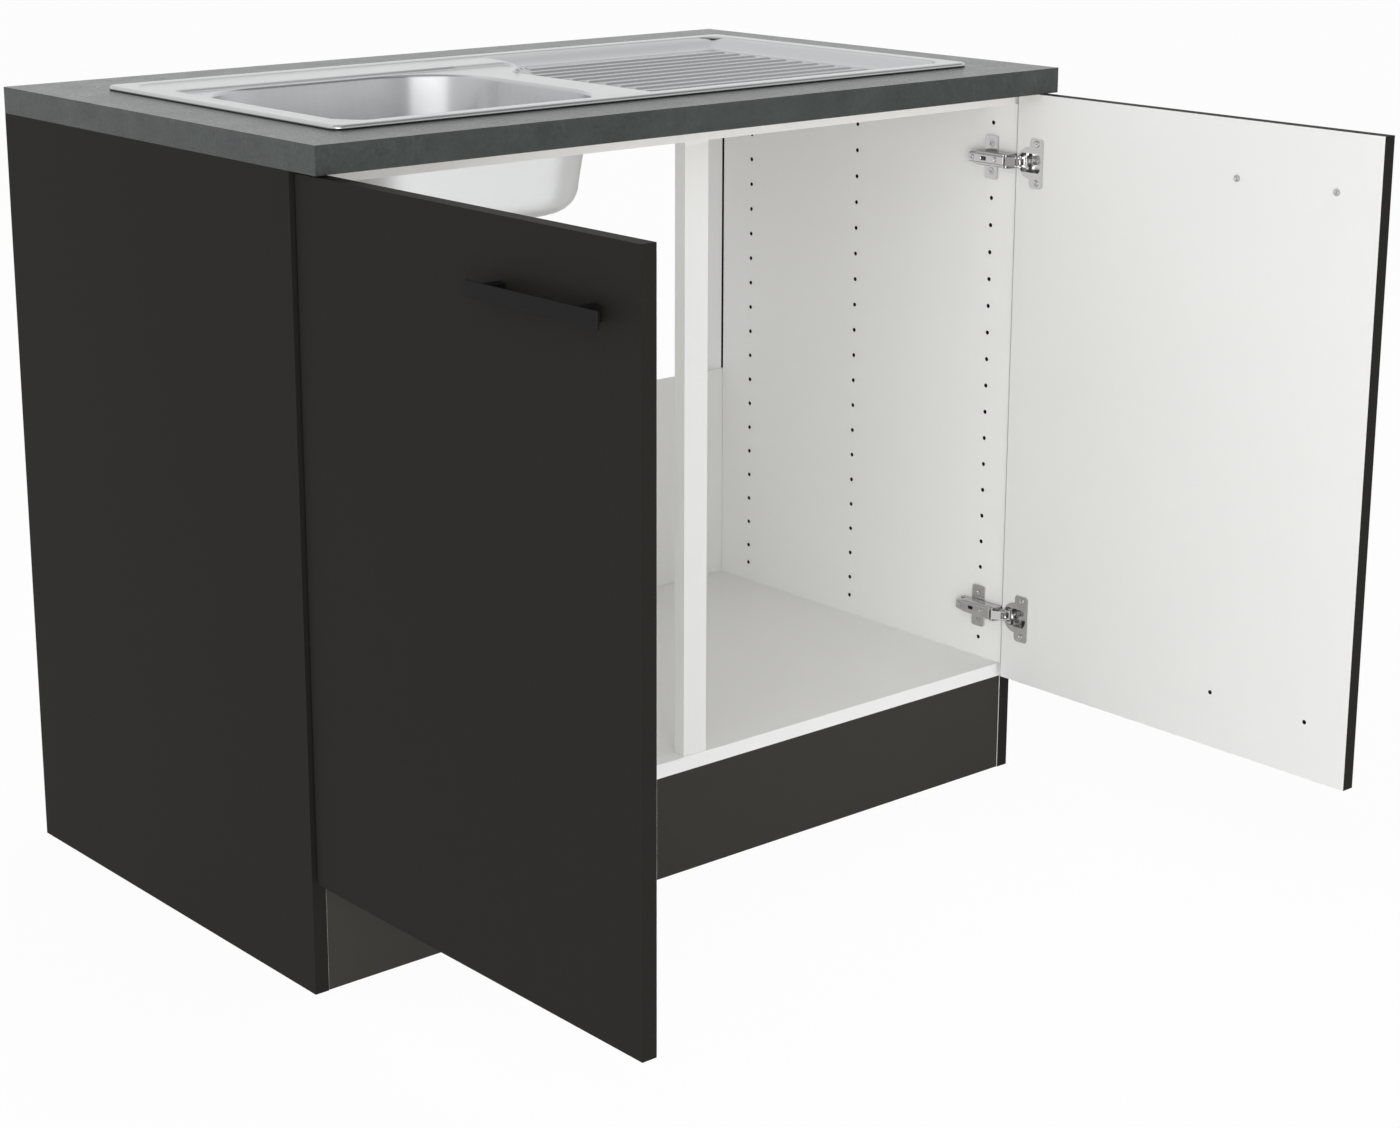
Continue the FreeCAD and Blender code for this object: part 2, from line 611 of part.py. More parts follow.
def waste_body():
    """Plastic waste under the sink, drawn up by the middle screw, with a threaded outlet below."""
    r, wall, bridge = WASTE_BODY_R, WASTE_BODY_WALL, 6.0
    end_z = OUTLET_TOP_Z - OUTLET_LENGTH
    shell = turned([(OUTLET_BORE_R, end_z), (OUTLET_R, end_z), (OUTLET_R, OUTLET_TOP_Z),
                    (r - 8, BODY_FLOOR_Z), (r, BODY_FLOOR_Z + 8),
                    (r, GASKET_Z - 5), (WASTE_RECESS_R - 1, GASKET_Z - 4), (WASTE_RECESS_R - 1, GASKET_Z),
                    (r - wall, GASKET_Z), (r - wall, BODY_FLOOR_Z + 9), (r - 9, BODY_FLOOR_Z + wall),
                    (OUTLET_BORE_R, OUTLET_TOP_Z + 8)])
    spoke = box(BOWL_X - r + wall / 2, BOWL_Y - bridge / 2, BODY_FLOOR_Z + 1,
                BOWL_X + r - wall / 2, BOWL_Y + bridge / 2, TUBE_FLOOR_Z - 0.3)
    spoke = spoke.common(rod(V(BOWL_X, BOWL_Y, BODY_FLOOR_Z), Z_AXIS, r - wall / 2, WASTE_NECK))
    nut = rod(V(BOWL_X, BOWL_Y, BODY_FLOOR_Z + 1), Z_AXIS, 6.0, TUBE_FLOOR_Z - 0.3 - BODY_FLOOR_Z - 1)
    thread = rod(V(BOWL_X, BOWL_Y, BODY_FLOOR_Z), Z_AXIS, SCREW_R + 1, WASTE_NECK)
    return fuse([shell, spoke, nut]).cut(thread)


def waste_screw():
    r = SCREW_R + 1
    top = TUBE_FLOOR_Z + WASTE_WALL
    shank = rod(V(BOWL_X, BOWL_Y, BODY_FLOOR_Z + 1.5), Z_AXIS, r, top - BODY_FLOOR_Z - 1.5)
    head = rod(V(BOWL_X, BOWL_Y, top), Z_AXIS, 2 * r, 2.0)
    return shank.fuse(head)


def strainer_basket():
    """Loose perforated basket with a knob, which rests on the waste's floor screw and rim."""
    r = WASTE_TUBE_R - WASTE_WALL - BASKET_CLEAR
    floor = TUBE_FLOOR_Z + WASTE_WALL + 2.0 + BASKET_CLEAR
    top = WASTE_SEAT_Z + 0.5
    pan = turned([(0, floor), (r - 8, floor), (r, floor + 8), (r, top), (r - 1.2, top),
                  (r - 1.2, floor + 8.5), (r - 8.5, floor + 1.2), (BASKET_KNOB_R - 3, floor + 1.2),
                  (BASKET_KNOB_R - 4, top - 8), (BASKET_KNOB_R, top - 5), (BASKET_KNOB_R, top - 1),
                  (0, top)])
    holes = round_holes(BASKET_HOLE_R, 10, GRID_RING_R, floor - 1, floor + 3)
    return cut(pan, holes)


# ---------------------------------------------------------------- hinge geometry
def arm_point(u, v):
    """Plan point of the left hinge's fixed side."""
    return (HINGE_X + u, FRONT - v)


def door_point(s, t):
    """Plan point of the left door as it stands open: s from its hinge edge, t from its inner face."""
    return (HINGE_X + OPEN_FACE_INSET - t, FRONT - OPEN_EDGE_GAP - s)


def inner_link_pivot():
    """The fixed point about which the inner link turns its door pin from the closed place to the
    open one: the centre of the turn by LINK_TURN times the opening angle."""
    s, t = DOOR_PIN_ST
    closed = complex(s, DOOR_GAP + t)
    opened = complex(OPEN_FACE_INSET - t, OPEN_EDGE_GAP + s)
    turn = math.radians(LINK_TURN * OPEN_ANGLE)
    r = complex(math.cos(turn), math.sin(turn))
    centre = (opened - r * closed) / (1 - r)
    return (centre.real, centre.imag)


def pin(place, radius, w0, w1):
    return Part.makeCylinder(radius, w1 - w0, V(place[0], place[1], w0))


def pair(build, w_in, w_out):
    """A piece above the hinge's middle and its twin below."""
    return [build(w_in, w_out), build(-w_out, -w_in)]


ARM_PIN = arm_point(*ARM_PIN_UV)
LINK_PIVOT_UV = inner_link_pivot()
LINK_PIVOT = arm_point(*LINK_PIVOT_UV)
DOOR_PIN = door_point(*DOOR_PIN_ST)
FORK_PIN = door_point(*FORK_PIN_ST)


def upright_plate(x, y, half_width, half_height, radius, thick):
    """A plate with round corners that stands on the plane at x, drawn as (y, z) and then stood up."""
    outline = rect_points(y - half_width, -half_height, y + half_width, half_height)
    plate = rounded_slab(outline, radius, 0, thick)
    return plate.transformGeometry(FreeCAD.Matrix(0, 0, 1, x, 1, 0, 0, 0, 0, 1, 0, 0, 0, 0, 0, 1))


def mounting_plate():
    """Cross-shaped plate on the side panel: two wings with screws, a raised block for the arm."""
    y = FRONT + BORE_ROWS[0]
    wings = upright_plate(-INNER_X, y, PLATE_HALF_WIDTH, PLATE_HALF_HEIGHT, PLATE_CORNER_R, PLATE_THICK)
    half = CHEEK_IN - LAYER_GAP
    block = box(-INNER_X, FRONT - ARM_NOSE_V + 6, -half, -INNER_X + BLOCK_HEIGHT, FRONT - ARM_REAR_V, half)
    return cut(fuse([wings, block]), plate_screws() + adjusting_screws())


def plate_screws():
    """Countersunk screws that go through the wings into two holes of the line boring."""
    screws = []
    for w in (-PLATE_SCREW_PITCH / 2, PLATE_SCREW_PITCH / 2):
        centre = V(-INNER_X, FRONT + BORE_ROWS[0], w)
        shank = rod(centre - X_AXIS * (BORE_DEPTH - 1), X_AXIS, BORE_R, BORE_DEPTH - 1)
        head = Part.makeCone(BORE_R, SCREW_HEAD_R + 0.4, PLATE_THICK, centre, X_AXIS)
        screws.append(shank.fuse(head))
    return screws


def adjusting_places():
    """Plan depth of the arm's two screws: near the nose for the side way, at the rear for the depth."""
    return (FRONT - ARM_NOSE_V + 14.0, FRONT - ARM_REAR_V - 7.0)


def adjusting_screws():
    face = HINGE_X + ARM_FACE_U
    screws = []
    for y in adjusting_places():
        head = rod(V(face, y, 0), X_AXIS, 3.2, 1.0)
        shank = rod(V(-INNER_X + 1.5, y, 0), X_AXIS, SCREW_R, face + INNER_X - 1.5)
        screws.append(head.fuse(shank))
    return screws


def hinge_arm():
    """Folded steel arm: a face with a stamped slot, and two cheeks that reach forward to the pins."""
    inner_face = ARM_FACE_U - FLANK
    face = box(*arm_point(inner_face, ARM_NOSE_V), -CHEEK_OUT,
               *arm_point(ARM_FACE_U, ARM_REAR_V), CHEEK_OUT)
    corners = ((ARM_BASE_U, ARM_REAR_V + 3), (ARM_BASE_U, ARM_NOSE_V - 3), LINK_PIVOT_UV, ARM_PIN_UV,
               (ARM_FACE_U, ARM_NOSE_V), (ARM_FACE_U, ARM_REAR_V), (inner_face, ARM_REAR_V))
    side = [arm_point(*p) for p in corners]

    def cheek(w0, w1):
        ears = [pin(LINK_PIVOT, NOSE_R, w0, w1), pin(ARM_PIN, NOSE_PIN_R, w0, w1)]
        return fuse([prism(side, w0, w1), strip([LINK_PIVOT, ARM_PIN], NOSE_R, w0, w1)] + ears)

    slot_y = FRONT - ARM_NOSE_V + ARM_SLOT_SETBACK
    slot = Part.makeBox(2 * FLANK, 8.0, 4.0, V(HINGE_X + inner_face - 0.5 * FLANK, slot_y, -2.0))
    start = HINGE_X + inner_face - 1
    holes = [rod(V(start, y, 0), X_AXIS, SCREW_R, 2 + FLANK) for y in adjusting_places()]
    pins = pair(lambda a, b: pin(LINK_PIVOT, PIN_R, a, b), CHEEK_IN, CHEEK_OUT)
    pins.append(pin(ARM_PIN, ARM_PIN_R, -CHEEK_OUT, CHEEK_OUT))
    return cut(fuse([face] + pair(cheek, CHEEK_IN, CHEEK_OUT)), [slot] + holes + pins)


def arm_pins():
    """The long pin of the outer link, and a short rivet for each plate of the inner link."""
    return [pin(ARM_PIN, ARM_PIN_R, -CHEEK_OUT, CHEEK_OUT)] + pair(
        lambda a, b: pin(LINK_PIVOT, PIN_R, a, b), HOOK_IN, CHEEK_OUT)


def inner_link():
    """Two hooked plates: each goes from its rivet in the arm, round the cup's rim, to the door pin."""
    route = [LINK_PIVOT] + [arm_point(*p) for p in HOOK_ROUTE_UV] + [DOOR_PIN]

    def plate(w0, w1):
        holes = [pin(place, PIN_R + RUNNING_CLEAR, w0, w1) for place in (LINK_PIVOT, DOOR_PIN)]
        return cut(strip(route, HOOK_HALF, w0, w1), holes)

    return pair(plate, HOOK_IN, HOOK_OUT)


def outer_link():
    """Bent channel: two flanks on the arm pin and a web between them; the flanks end in open forks
    that straddle the pin in the cup."""
    bend = arm_point(*BLADE_BEND_UV)
    ax, ay = ARM_PIN
    fx, fy = FORK_PIN
    reach = math.hypot(fx - ax, fy - ay)
    dx, dy = (fx - ax) / reach, (fy - ay) / reach

    def along(r, side=0.0):
        return (ax + dx * r - dy * side, ay + dy * r + dx * side)

    throat, tip = along(reach - FORK_TRAVEL), reach + 1.2

    def flank(w0, w1):
        blade = strip([ARM_PIN, bend, along(reach - 1.5)], BLADE_HALF, w0, w1)
        fork = strip([throat, along(reach)], FORK_HALF, w0, w1)
        slot = strip([throat, along(reach + 4)], FORK_SLOT_HALF, w0, w1)
        past = tip + 6
        end = prism([along(tip, 6), along(tip, -6), along(past, -6), along(past, 6)], w0, w1)
        return cut(fuse([blade, fork]), [slot, end])

    # the web closes the channel on the side that faces into the cabinet
    length = math.hypot(bend[0] - ax, bend[1] - ay)
    ex, ey = (bend[0] - ax) / length, (bend[1] - ay) / length

    def web_point(r, off):
        return (ax + ex * r - ey * off, ay + ey * r + ex * off)

    far, off = WEB_SHARE * length, BLADE_HALF + FLANK
    outer = [web_point(far, off), web_point(0, off)]
    web = prism([web_point(0, BLADE_HALF), web_point(far, BLADE_HALF)] + outer, -LINK_OUT, LINK_OUT)
    sides = pair(lambda a, b: prism([ARM_PIN, web_point(far, 0)] + outer, a, b), LINK_IN, LINK_OUT)
    hole = pin(ARM_PIN, ARM_PIN_R + RUNNING_CLEAR, -LINK_OUT, LINK_OUT)
    return cut(fuse([web] + sides + pair(flank, LINK_IN, LINK_OUT)), [hole])


def cup_rod(radius, t0, t1):
    """A cylinder on the cup's axis between two depths in the open door."""
    x, y = door_point(CUP_S, t0)
    return rod(V(x, y, 0), -X_AXIS, radius, t1 - t0)


def door_box(s0, t0, w0, s1, t1, w1):
    xa, ya = door_point(s0, t0)
    xb, yb = door_point(s1, t1)
    return box(min(xa, xb), min(ya, yb), w0, max(xa, xb), max(ya, yb), w1)


def cup_screw_places():
    return [(CUP_S + CUP_SCREW_OFFSET, w) for w in (-CUP_SCREW_SPACING / 2, CUP_SCREW_SPACING / 2)]


def hinge_cup():
    """Pressed cup with its screw flange on the door's inner face, and the bosses that hold two pins."""
    x, y = door_point(CUP_S + CUP_SCREW_OFFSET, 0)
    flange = upright_plate(x, y, FLANGE_HALF_WIDTH, FLANGE_HALF_HEIGHT, FLANGE_CORNER_R, FLANGE_THICK)
    ring = cup_rod(FLANGE_RIM_R, -FLANGE_THICK, 0)
    shell = fuse([flange, ring, cup_rod(CUP_R, -FLANGE_THICK, CUP_DEPTH)])
    window = door_box(0, -2 * FLANGE_THICK, -MOUTH_HALF, 2 * CUP_S, 0, MOUTH_HALF)
    mouth = cup_rod(CUP_R - CUP_WALL, -2 * FLANGE_THICK, 0).common(window)
    shell = cut(shell, [mouth, cup_rod(CUP_R - CUP_WALL, 0, CUP_DEPTH - CUP_WALL)])
    s, t = DOOR_PIN_ST
    bosses = [door_box(CUP_EDGE, t - 2.2, w0, s + 2.2, t + 2.2, w1)
              for w0, w1 in ((CHEEK_IN, CUP_R), (-CUP_R, -CHEEK_IN))]
    s, t = FORK_PIN_ST
    bosses.append(door_box(CUP_EDGE, t - 1.4, -BOSS_HALF, s, t + 1.4, BOSS_HALF).fuse(
        pin(FORK_PIN, 1.4, -BOSS_HALF, BOSS_HALF)))
    round_space = cup_rod(CUP_R - CUP_WALL / 2, -FLANGE_THICK, CUP_DEPTH)
    bosses = [b.common(round_space) for b in bosses]
    holes = [rod(V(x - 1, door_point(s, 0)[1], w), X_AXIS, SCREW_R, 4) for s, w in cup_screw_places()]
    return cut(fuse([shell] + bosses), cup_pins() + holes)


def cup_pins():
    return [pin(DOOR_PIN, PIN_R, -CHEEK_OUT, CHEEK_OUT), pin(FORK_PIN, PIN_R, -LINK_OUT, LINK_OUT)]


def cup_screws():
    screws = []
    for s, w in cup_screw_places():
        x, y = door_point(s, -FLANGE_THICK)
        head = Part.makeCone(SCREW_HEAD_R, SCREW_HEAD_R - 1.0, 1.2, V(x, y, w), X_AXIS)
        shank = rod(V(x, y, w), -X_AXIS, SCREW_R, 12.0 + FLANGE_THICK)
        screws.append(head.fuse(shank))
    return screws


# ---------------------------------------------------------------- doors
def handle_holes():
    """Plan positions of the two handle screws along the door, s from the hinge edge."""
    middle = DOOR_WIDTH - HANDLE_EDGE
    return (middle - HANDLE_PITCH / 2, middle + HANDLE_PITCH / 2)


HANDLE_Z = DOOR_TOP - HANDLE_DROP


def handle_screws():
    screws = []
    for s in handle_holes():
        x, y = door_point(s, 0)
        face = V(x, y, HANDLE_Z)
        head = Part.makeCone(SCREW_HEAD_R, SCREW_HEAD_R - 1.2, SCREW_HEAD_T, face, X_AXIS)
        shank = rod(V(x, y, HANDLE_Z), -X_AXIS, SCREW_R, BOARD + 10.0)
        screws.append(head.fuse(shank))
    return screws


def handle():
    """Flat bar on two square posts, one casting."""
    middle = DOOR_WIDTH - HANDLE_EDGE
    half = HANDLE_HEIGHT / 2
    inner, outer = BOARD + HANDLE_GAP, BOARD + HANDLE_GAP + HANDLE_THICK
    bar = door_box(middle - HANDLE_LENGTH / 2, inner, HANDLE_Z - half,
                   middle + HANDLE_LENGTH / 2, outer, HANDLE_Z + half)
    bar = bar.makeChamfer(0.5, bar.Edges)
    reach, tall = HANDLE_POST / 2, half - 0.5
    posts = [door_box(s - reach, BOARD, HANDLE_Z - tall, s + reach, BOARD + HANDLE_GAP + 1, HANDLE_Z + tall)
             for s in handle_holes()]
    return cut(fuse([bar] + posts), handle_screws())


def door_board():
    board = door_box(EDGING, 0, DOOR_BOTTOM + EDGING, DOOR_WIDTH - EDGING, BOARD, DOOR_TOP - EDGING)
    cups = both_heights(cup_rod(CUP_R, 0, CUP_DEPTH))
    pilots = [hole for screw in cup_screws() for hole in both_heights(screw)]
    spare_z = DOOR_BOTTOM + HANDLE_DROP
    spare = []
    for s in handle_holes():
        x, y = door_point(s, 0)
        spare.append(rod(V(x, y, spare_z), -X_AXIS, BORE_R, BORE_DEPTH))
    return cut(board, cups + pilots + handle_screws() + spare)


def door_edging():
    outer = door_box(0, 0, DOOR_BOTTOM, DOOR_WIDTH, BOARD, DOOR_TOP)
    inner = door_box(EDGING, 0, DOOR_BOTTOM + EDGING, DOOR_WIDTH - EDGING, BOARD, DOOR_TOP - EDGING)
    return outer.cut(inner)


# ---------------------------------------------------------------- the nodes
def hinge_set(shapes):
    """Pieces of one hinge, at both heights of the left door."""
    return [copy for shape in shapes for copy in both_heights(shape)]


def build():
    clips, clip_screws = sink_clips()
    nodes = {
        "worktop": [worktop()],
        "bottom_shelf": [bottom_shelf()],
        "plinth_board": [plinth_board()],
        "front_rail": [front_rail()],
        "rear_rail": [rear_rail()],
        "centre_post": [centre_post()],
        "back_panel": [back_panel()],
        "dowels": DOWELS,
        "cam_bolts": CAM_BOLTS,
        "cams": CAMS,
        "worktop_screws": worktop_screws(),
        "sink": [sink()],
        "sink_seal": [sink_seal()],
        "sink_clips": clips,
        "clip_screws": clip_screws,
        "waste_flange": [waste_flange()],
        "waste_gasket": [waste_gasket()],
        "waste_body": [waste_body()],
        "waste_screw": [waste_screw()],
        "strainer_basket": [strainer_basket()],
    }
    left = {
        "side_panel": [side_panel()],
        "hinge_plates": hinge_set([mounting_plate()]),
        "plate_screws": hinge_set(plate_screws()),
        "hinge_arms": hinge_set([hinge_arm()]),
        "adjusting_screws": hinge_set(adjusting_screws()),
        "arm_pins": hinge_set(arm_pins()),
        "inner_links": hinge_set(inner_link()),
        "outer_links": hinge_set([outer_link()]),
        "hinge_cups": hinge_set([hinge_cup()]),
        "cup_pins": hinge_set(cup_pins()),
        "cup_screws": hinge_set(cup_screws()),
        "door": [door_board()],
        "door_edging": [door_edging()],
        "handle": [handle()],
        "handle_screws": handle_screws(),
    }
    for name, shapes in left.items():
        nodes[name + "_left"] = shapes
        nodes[name + "_right"] = mirrored(shapes)
    return nodes


os.makedirs("parts", exist_ok=True)
for node, shapes in build().items():
    solids = save(node, shapes)
    bad = [s for s in solids if not s.isValid()]
    print("%-24s %3d solids %10.0f mm3%s" % (node, len(solids), sum(s.Volume for s in solids),
                                            "  INVALID" if bad else ""))
print("inner link pivot (u, v)", LINK_PIVOT_UV)
pivots = {"ARM_PIN": ARM_PIN, "LINK_PIVOT": LINK_PIVOT, "DOOR_PIN": DOOR_PIN, "FORK_PIN": FORK_PIN}
for name, place in pivots.items():
    print(name, [round(c, 4) for c in place])
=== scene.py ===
import math

import bmesh
import bpy
import numpy as np
from mathutils import Euler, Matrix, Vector


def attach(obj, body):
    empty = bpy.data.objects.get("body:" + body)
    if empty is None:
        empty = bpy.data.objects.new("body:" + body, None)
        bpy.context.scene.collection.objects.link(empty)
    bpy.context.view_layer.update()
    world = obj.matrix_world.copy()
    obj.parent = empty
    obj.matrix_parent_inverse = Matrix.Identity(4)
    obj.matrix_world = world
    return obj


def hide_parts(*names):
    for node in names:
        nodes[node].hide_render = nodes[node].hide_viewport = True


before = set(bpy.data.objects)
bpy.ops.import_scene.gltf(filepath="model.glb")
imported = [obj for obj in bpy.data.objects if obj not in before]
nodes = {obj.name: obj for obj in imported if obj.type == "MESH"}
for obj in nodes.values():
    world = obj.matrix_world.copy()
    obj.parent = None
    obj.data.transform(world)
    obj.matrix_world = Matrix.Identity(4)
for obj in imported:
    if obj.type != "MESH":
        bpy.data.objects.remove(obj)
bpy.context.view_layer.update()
scene = bpy.context.scene
scene.view_settings.view_transform = "Standard"

# Metres. X runs right along the front, Y to the wall, Z up, as in the part's source.
WORKTOP_TOP = 0.850
WORKTOP_THICK = 0.028
WORKTOP_FRONT = -0.053
CABINET_FRONT = -0.008
CABINET_BACK = 0.547
HALF_WIDTH = 0.500
INNER_SIDE = 0.484
DOOR_FACE = 0.4803              # inner face of a door that stands open
DOOR_BOTTOM = 0.118
WHITE_LIP = 0.0018              # the white foil's turn on to a side panel's front edge
SKIN = 0.0004                   # a face's material reaches this deep into the piece
THIN_SKIN = 0.0001              # and this deep where another face is close behind

SINK_LEFT, SINK_RIGHT = -0.430, 0.430
SINK_FRONT, SINK_BACK = 0.019, 0.454
SINK_TOP = 0.855
SINK_CORNER = 0.012
BAND = 0.020
BAND_CORNER = 0.025
PLATFORM = 0.8535
SURROUND_DROP = 0.003
SURROUND_STEP = 0.0055          # width of the surround's step down
SURROUND_CORNER = 0.012
LEDGE_FRONT = SINK_BACK - BAND - 0.058  # front edge of the flat ledge behind the bowl
LEDGE_TIP = SINK_LEFT + 0.476   # the ledge's tip, which stands into the drainer pan
SURROUND_LOW = (SINK_LEFT + 0.032, SINK_FRONT + 0.022)
SURROUND_HIGH = (SINK_LEFT + 0.470, LEDGE_FRONT)
PAN_LEFT = SINK_LEFT + 0.420
PAN_NOTCH = 0.076
PAN_CORNER = 0.010
PAN_DEPTH = 0.0115
PAN_SLOPE = 0.026
BOWL_MIDDLE = (-0.222, 0.207)
BOWL_HALF = (0.170, 0.160)
BOWL_CORNER = 0.090
BOWL_FLOOR = 0.7305
BOWL_DRAFT = 0.012
BOWL_BEND = 0.028
RECESS_RADIUS = 0.057
RECESS_DEPTH = 0.003
WASTE_HOLE = 0.044
SPLIT = -0.031                  # the plane across the sink where its two meshes of lines meet
RIB_STARTS = (0.030, 0.039, 0.041, 0.043, 0.041, 0.040, 0.024, 0.004, 0.031, 0.059)
RIB_END = 0.360
RIB_PITCH = 0.0275
RIB_MIDDLE = 0.2375
RIB_HALF = 0.0058
RIB_RISE = 0.0036
STEEL_SHEET = 0.0009

HINGE_HEIGHTS = (0.197, 0.741)
ARM_FACE, ARM_BASE = -0.468, -0.4811    # X of the left arm's face and of its cheeks' lower edges
ARM_NOSE, ARM_END = -0.002, 0.0508      # Y from which the arm is folded, and where its end rounds off
ARM_HALF, ARM_SHEET, ARM_BEND = 0.0083, 0.0012, 0.0014
ARM_BEAD = 0.0006
ARM_PIN, PIN_EYE = (-0.4685, -0.006), 0.0021
LINK_PIVOT, PIVOT_EYE = (-0.480943, -0.009565), 0.0014
SLOT_MIDDLE, SLOT_HALF_LENGTH, SLOT_HALF_WIDTH = 0.029, 0.004, 0.002

# Screws on the left side: places across the door or panel, and half their distance along Z.
PLATE_SCREW, PLATE_SCREW_HALF = (-0.4815, 0.029), 0.016
CUP_SCREW, CUP_SCREW_HALF = (-0.4793, -0.0427), 0.0225
ADJUSTING_SCREW_Y = (0.012, 0.047)
HANDLE_SCREW_Y, HANDLE_SCREW_Z = (-0.3262, -0.4542), 0.757
# head radius, seat radius, head height, shank radius, shank length
PLATE_SCREW_SIZES = (0.0043, 0.0026, 0.0004, 0.0024, 0.0115)
ADJUSTING_SCREW_SIZES = (0.0031, 0.0031, 0.0010, 0.0019, 0.0140)
CUP_SCREW_SIZES = (0.0036, 0.0040, 0.0012, 0.0019, 0.0130)
HANDLE_SCREW_SIZES = (0.0032, 0.0040, 0.0021, 0.0019, 0.0255)
THREAD_PITCH = 0.0015

CAMERA_PLACE = (-1.8574, -2.1405, 1.1896)
CAMERA_TILT, CAMERA_TURN = 14.202, 40.195  # degrees down from level, and to the right of +Y
CAMERA_LENS = 70.50
CAMERA_SHIFT = (0.030, -0.080)
ROOM_LIGHT = 0.57
CEILING = (0.30, 0.30, 0.305, 1)
FLOOR_WHITE = (0.94, 0.94, 0.94, 1)
FLOOR_SEEN_WHITE = 0.95         # share of plain white in what the camera sees of the floor


# ---------------------------------------------------------------- shader groups
def new_group(name, inputs, outputs):
    """An empty shader group with float, vector and colour sockets, and its two end nodes."""
    group = bpy.data.node_groups.new(name, "ShaderNodeTree")
    for label, kind, value in inputs:
        socket = group.interface.new_socket(name=label, in_out="INPUT", socket_type=kind)
        if value is not None:
            socket.default_value = value
    for label, kind in outputs:
        group.interface.new_socket(name=label, in_out="OUTPUT", socket_type=kind)
    ends = group.nodes.new("NodeGroupInput"), group.nodes.new("NodeGroupOutput")
    return group, ends[0], ends[1]


def math_node(tree, operation, a, b=None, clamp=False):
    node = tree.nodes.new("ShaderNodeMath")
    node.operation = operation
    node.use_clamp = clamp
    for socket, value in zip(node.inputs, (a, b)):
        if value is None:
            continue
        if isinstance(value, (int, float)):
            socket.default_value = value
        else:
            tree.links.new(value, socket)
    return node.outputs[0]


def noise_node(tree, vector, scale, detail, roughness=0.5):
    node = tree.nodes.new("ShaderNodeTexNoise")
    node.inputs["Detail"].default_value = detail
    node.inputs["Roughness"].default_value = roughness
    tree.links.new(vector, node.inputs["Vector"])
    if isinstance(scale, (int, float)):
        node.inputs["Scale"].default_value = scale
    else:
        tree.links.new(scale, node.inputs["Scale"])
    return node.outputs["Fac"]


def ramp_node(tree, value, low, high, out_low=0.0, out_high=1.0):
    node = tree.nodes.new("ShaderNodeMapRange")
    tree.links.new(value, node.inputs["Value"])
    for label, number in zip(("From Min", "From Max", "To Min", "To Max"), (low, high, out_low, out_high)):
        node.inputs[label].default_value = number
    return node.outputs["Result"]


def mix_colours(tree, factor, a, b):
    node = tree.nodes.new("ShaderNodeMix")
    node.data_type = "RGBA"
    for socket, value in ((node.inputs[0], factor), (node.inputs[6], a), (node.inputs[7], b)):
        if isinstance(value, (int, float, tuple)):
            socket.default_value = value
        else:
            tree.links.new(value, socket)
    return node.outputs[2]


def around(tree, middle, wave, strength):
    """middle + strength * (wave - 0.5)."""
    result = math_node(tree, "MULTIPLY_ADD", math_node(tree, "SUBTRACT", wave, 0.5), strength)
    last = result.node.inputs[2]
    if isinstance(middle, (int, float)):
        last.default_value = middle
    else:
        tree.links.new(middle, last)
    return result


def scaled(tree, vector, factor):
    """A vector or colour times a number from a socket."""
    node = tree.nodes.new("ShaderNodeVectorMath")
    node.operation = "SCALE"
    tree.links.new(vector, node.inputs[0])
    tree.links.new(factor, node.inputs["Scale"])
    return node.outputs[0]


def seen_rays(tree):
    """1 for what the camera sees, straight, in a reflection or through glass, and 0 for light."""
    path = tree.nodes.new("ShaderNodeLightPath")
    straight = math_node(tree, "MAXIMUM", path.outputs["Is Camera Ray"], path.outputs["Is Glossy Ray"])
    return math_node(tree, "MAXIMUM", straight, path.outputs["Is Transmission Ray"])


def melamine_group():
    """Foil-faced board: the colour varies by a broad faint cloud, and the surface has a fine
    orange-peel texture. Shade = 1 + Cloud * (broad noise - 0.5); Height = fine noise."""
    tree, start, end = new_group("board_foil", [
        ("Vector", "NodeSocketVector", None), ("Color", "NodeSocketColor", (0.8, 0.8, 0.8, 1)),
        ("Cloud", "NodeSocketFloat", 0.06), ("Peel Scale", "NodeSocketFloat", 900.0),
        ("Roughness", "NodeSocketFloat", 0.5)], [
        ("Color", "NodeSocketColor"), ("Roughness", "NodeSocketFloat"), ("Height", "NodeSocketFloat")])
    vector = start.outputs["Vector"]
    cloud = noise_node(tree, vector, 5.0, 3.0)
    peel = noise_node(tree, vector, start.outputs["Peel Scale"], 2.0)
    shade = around(tree, 1.0, cloud, start.outputs["Cloud"])
    tree.links.new(scaled(tree, start.outputs["Color"], shade), end.inputs["Color"])
    tree.links.new(around(tree, start.outputs["Roughness"], peel, 0.12), end.inputs["Roughness"])
    tree.links.new(peel, end.inputs["Height"])
    return tree


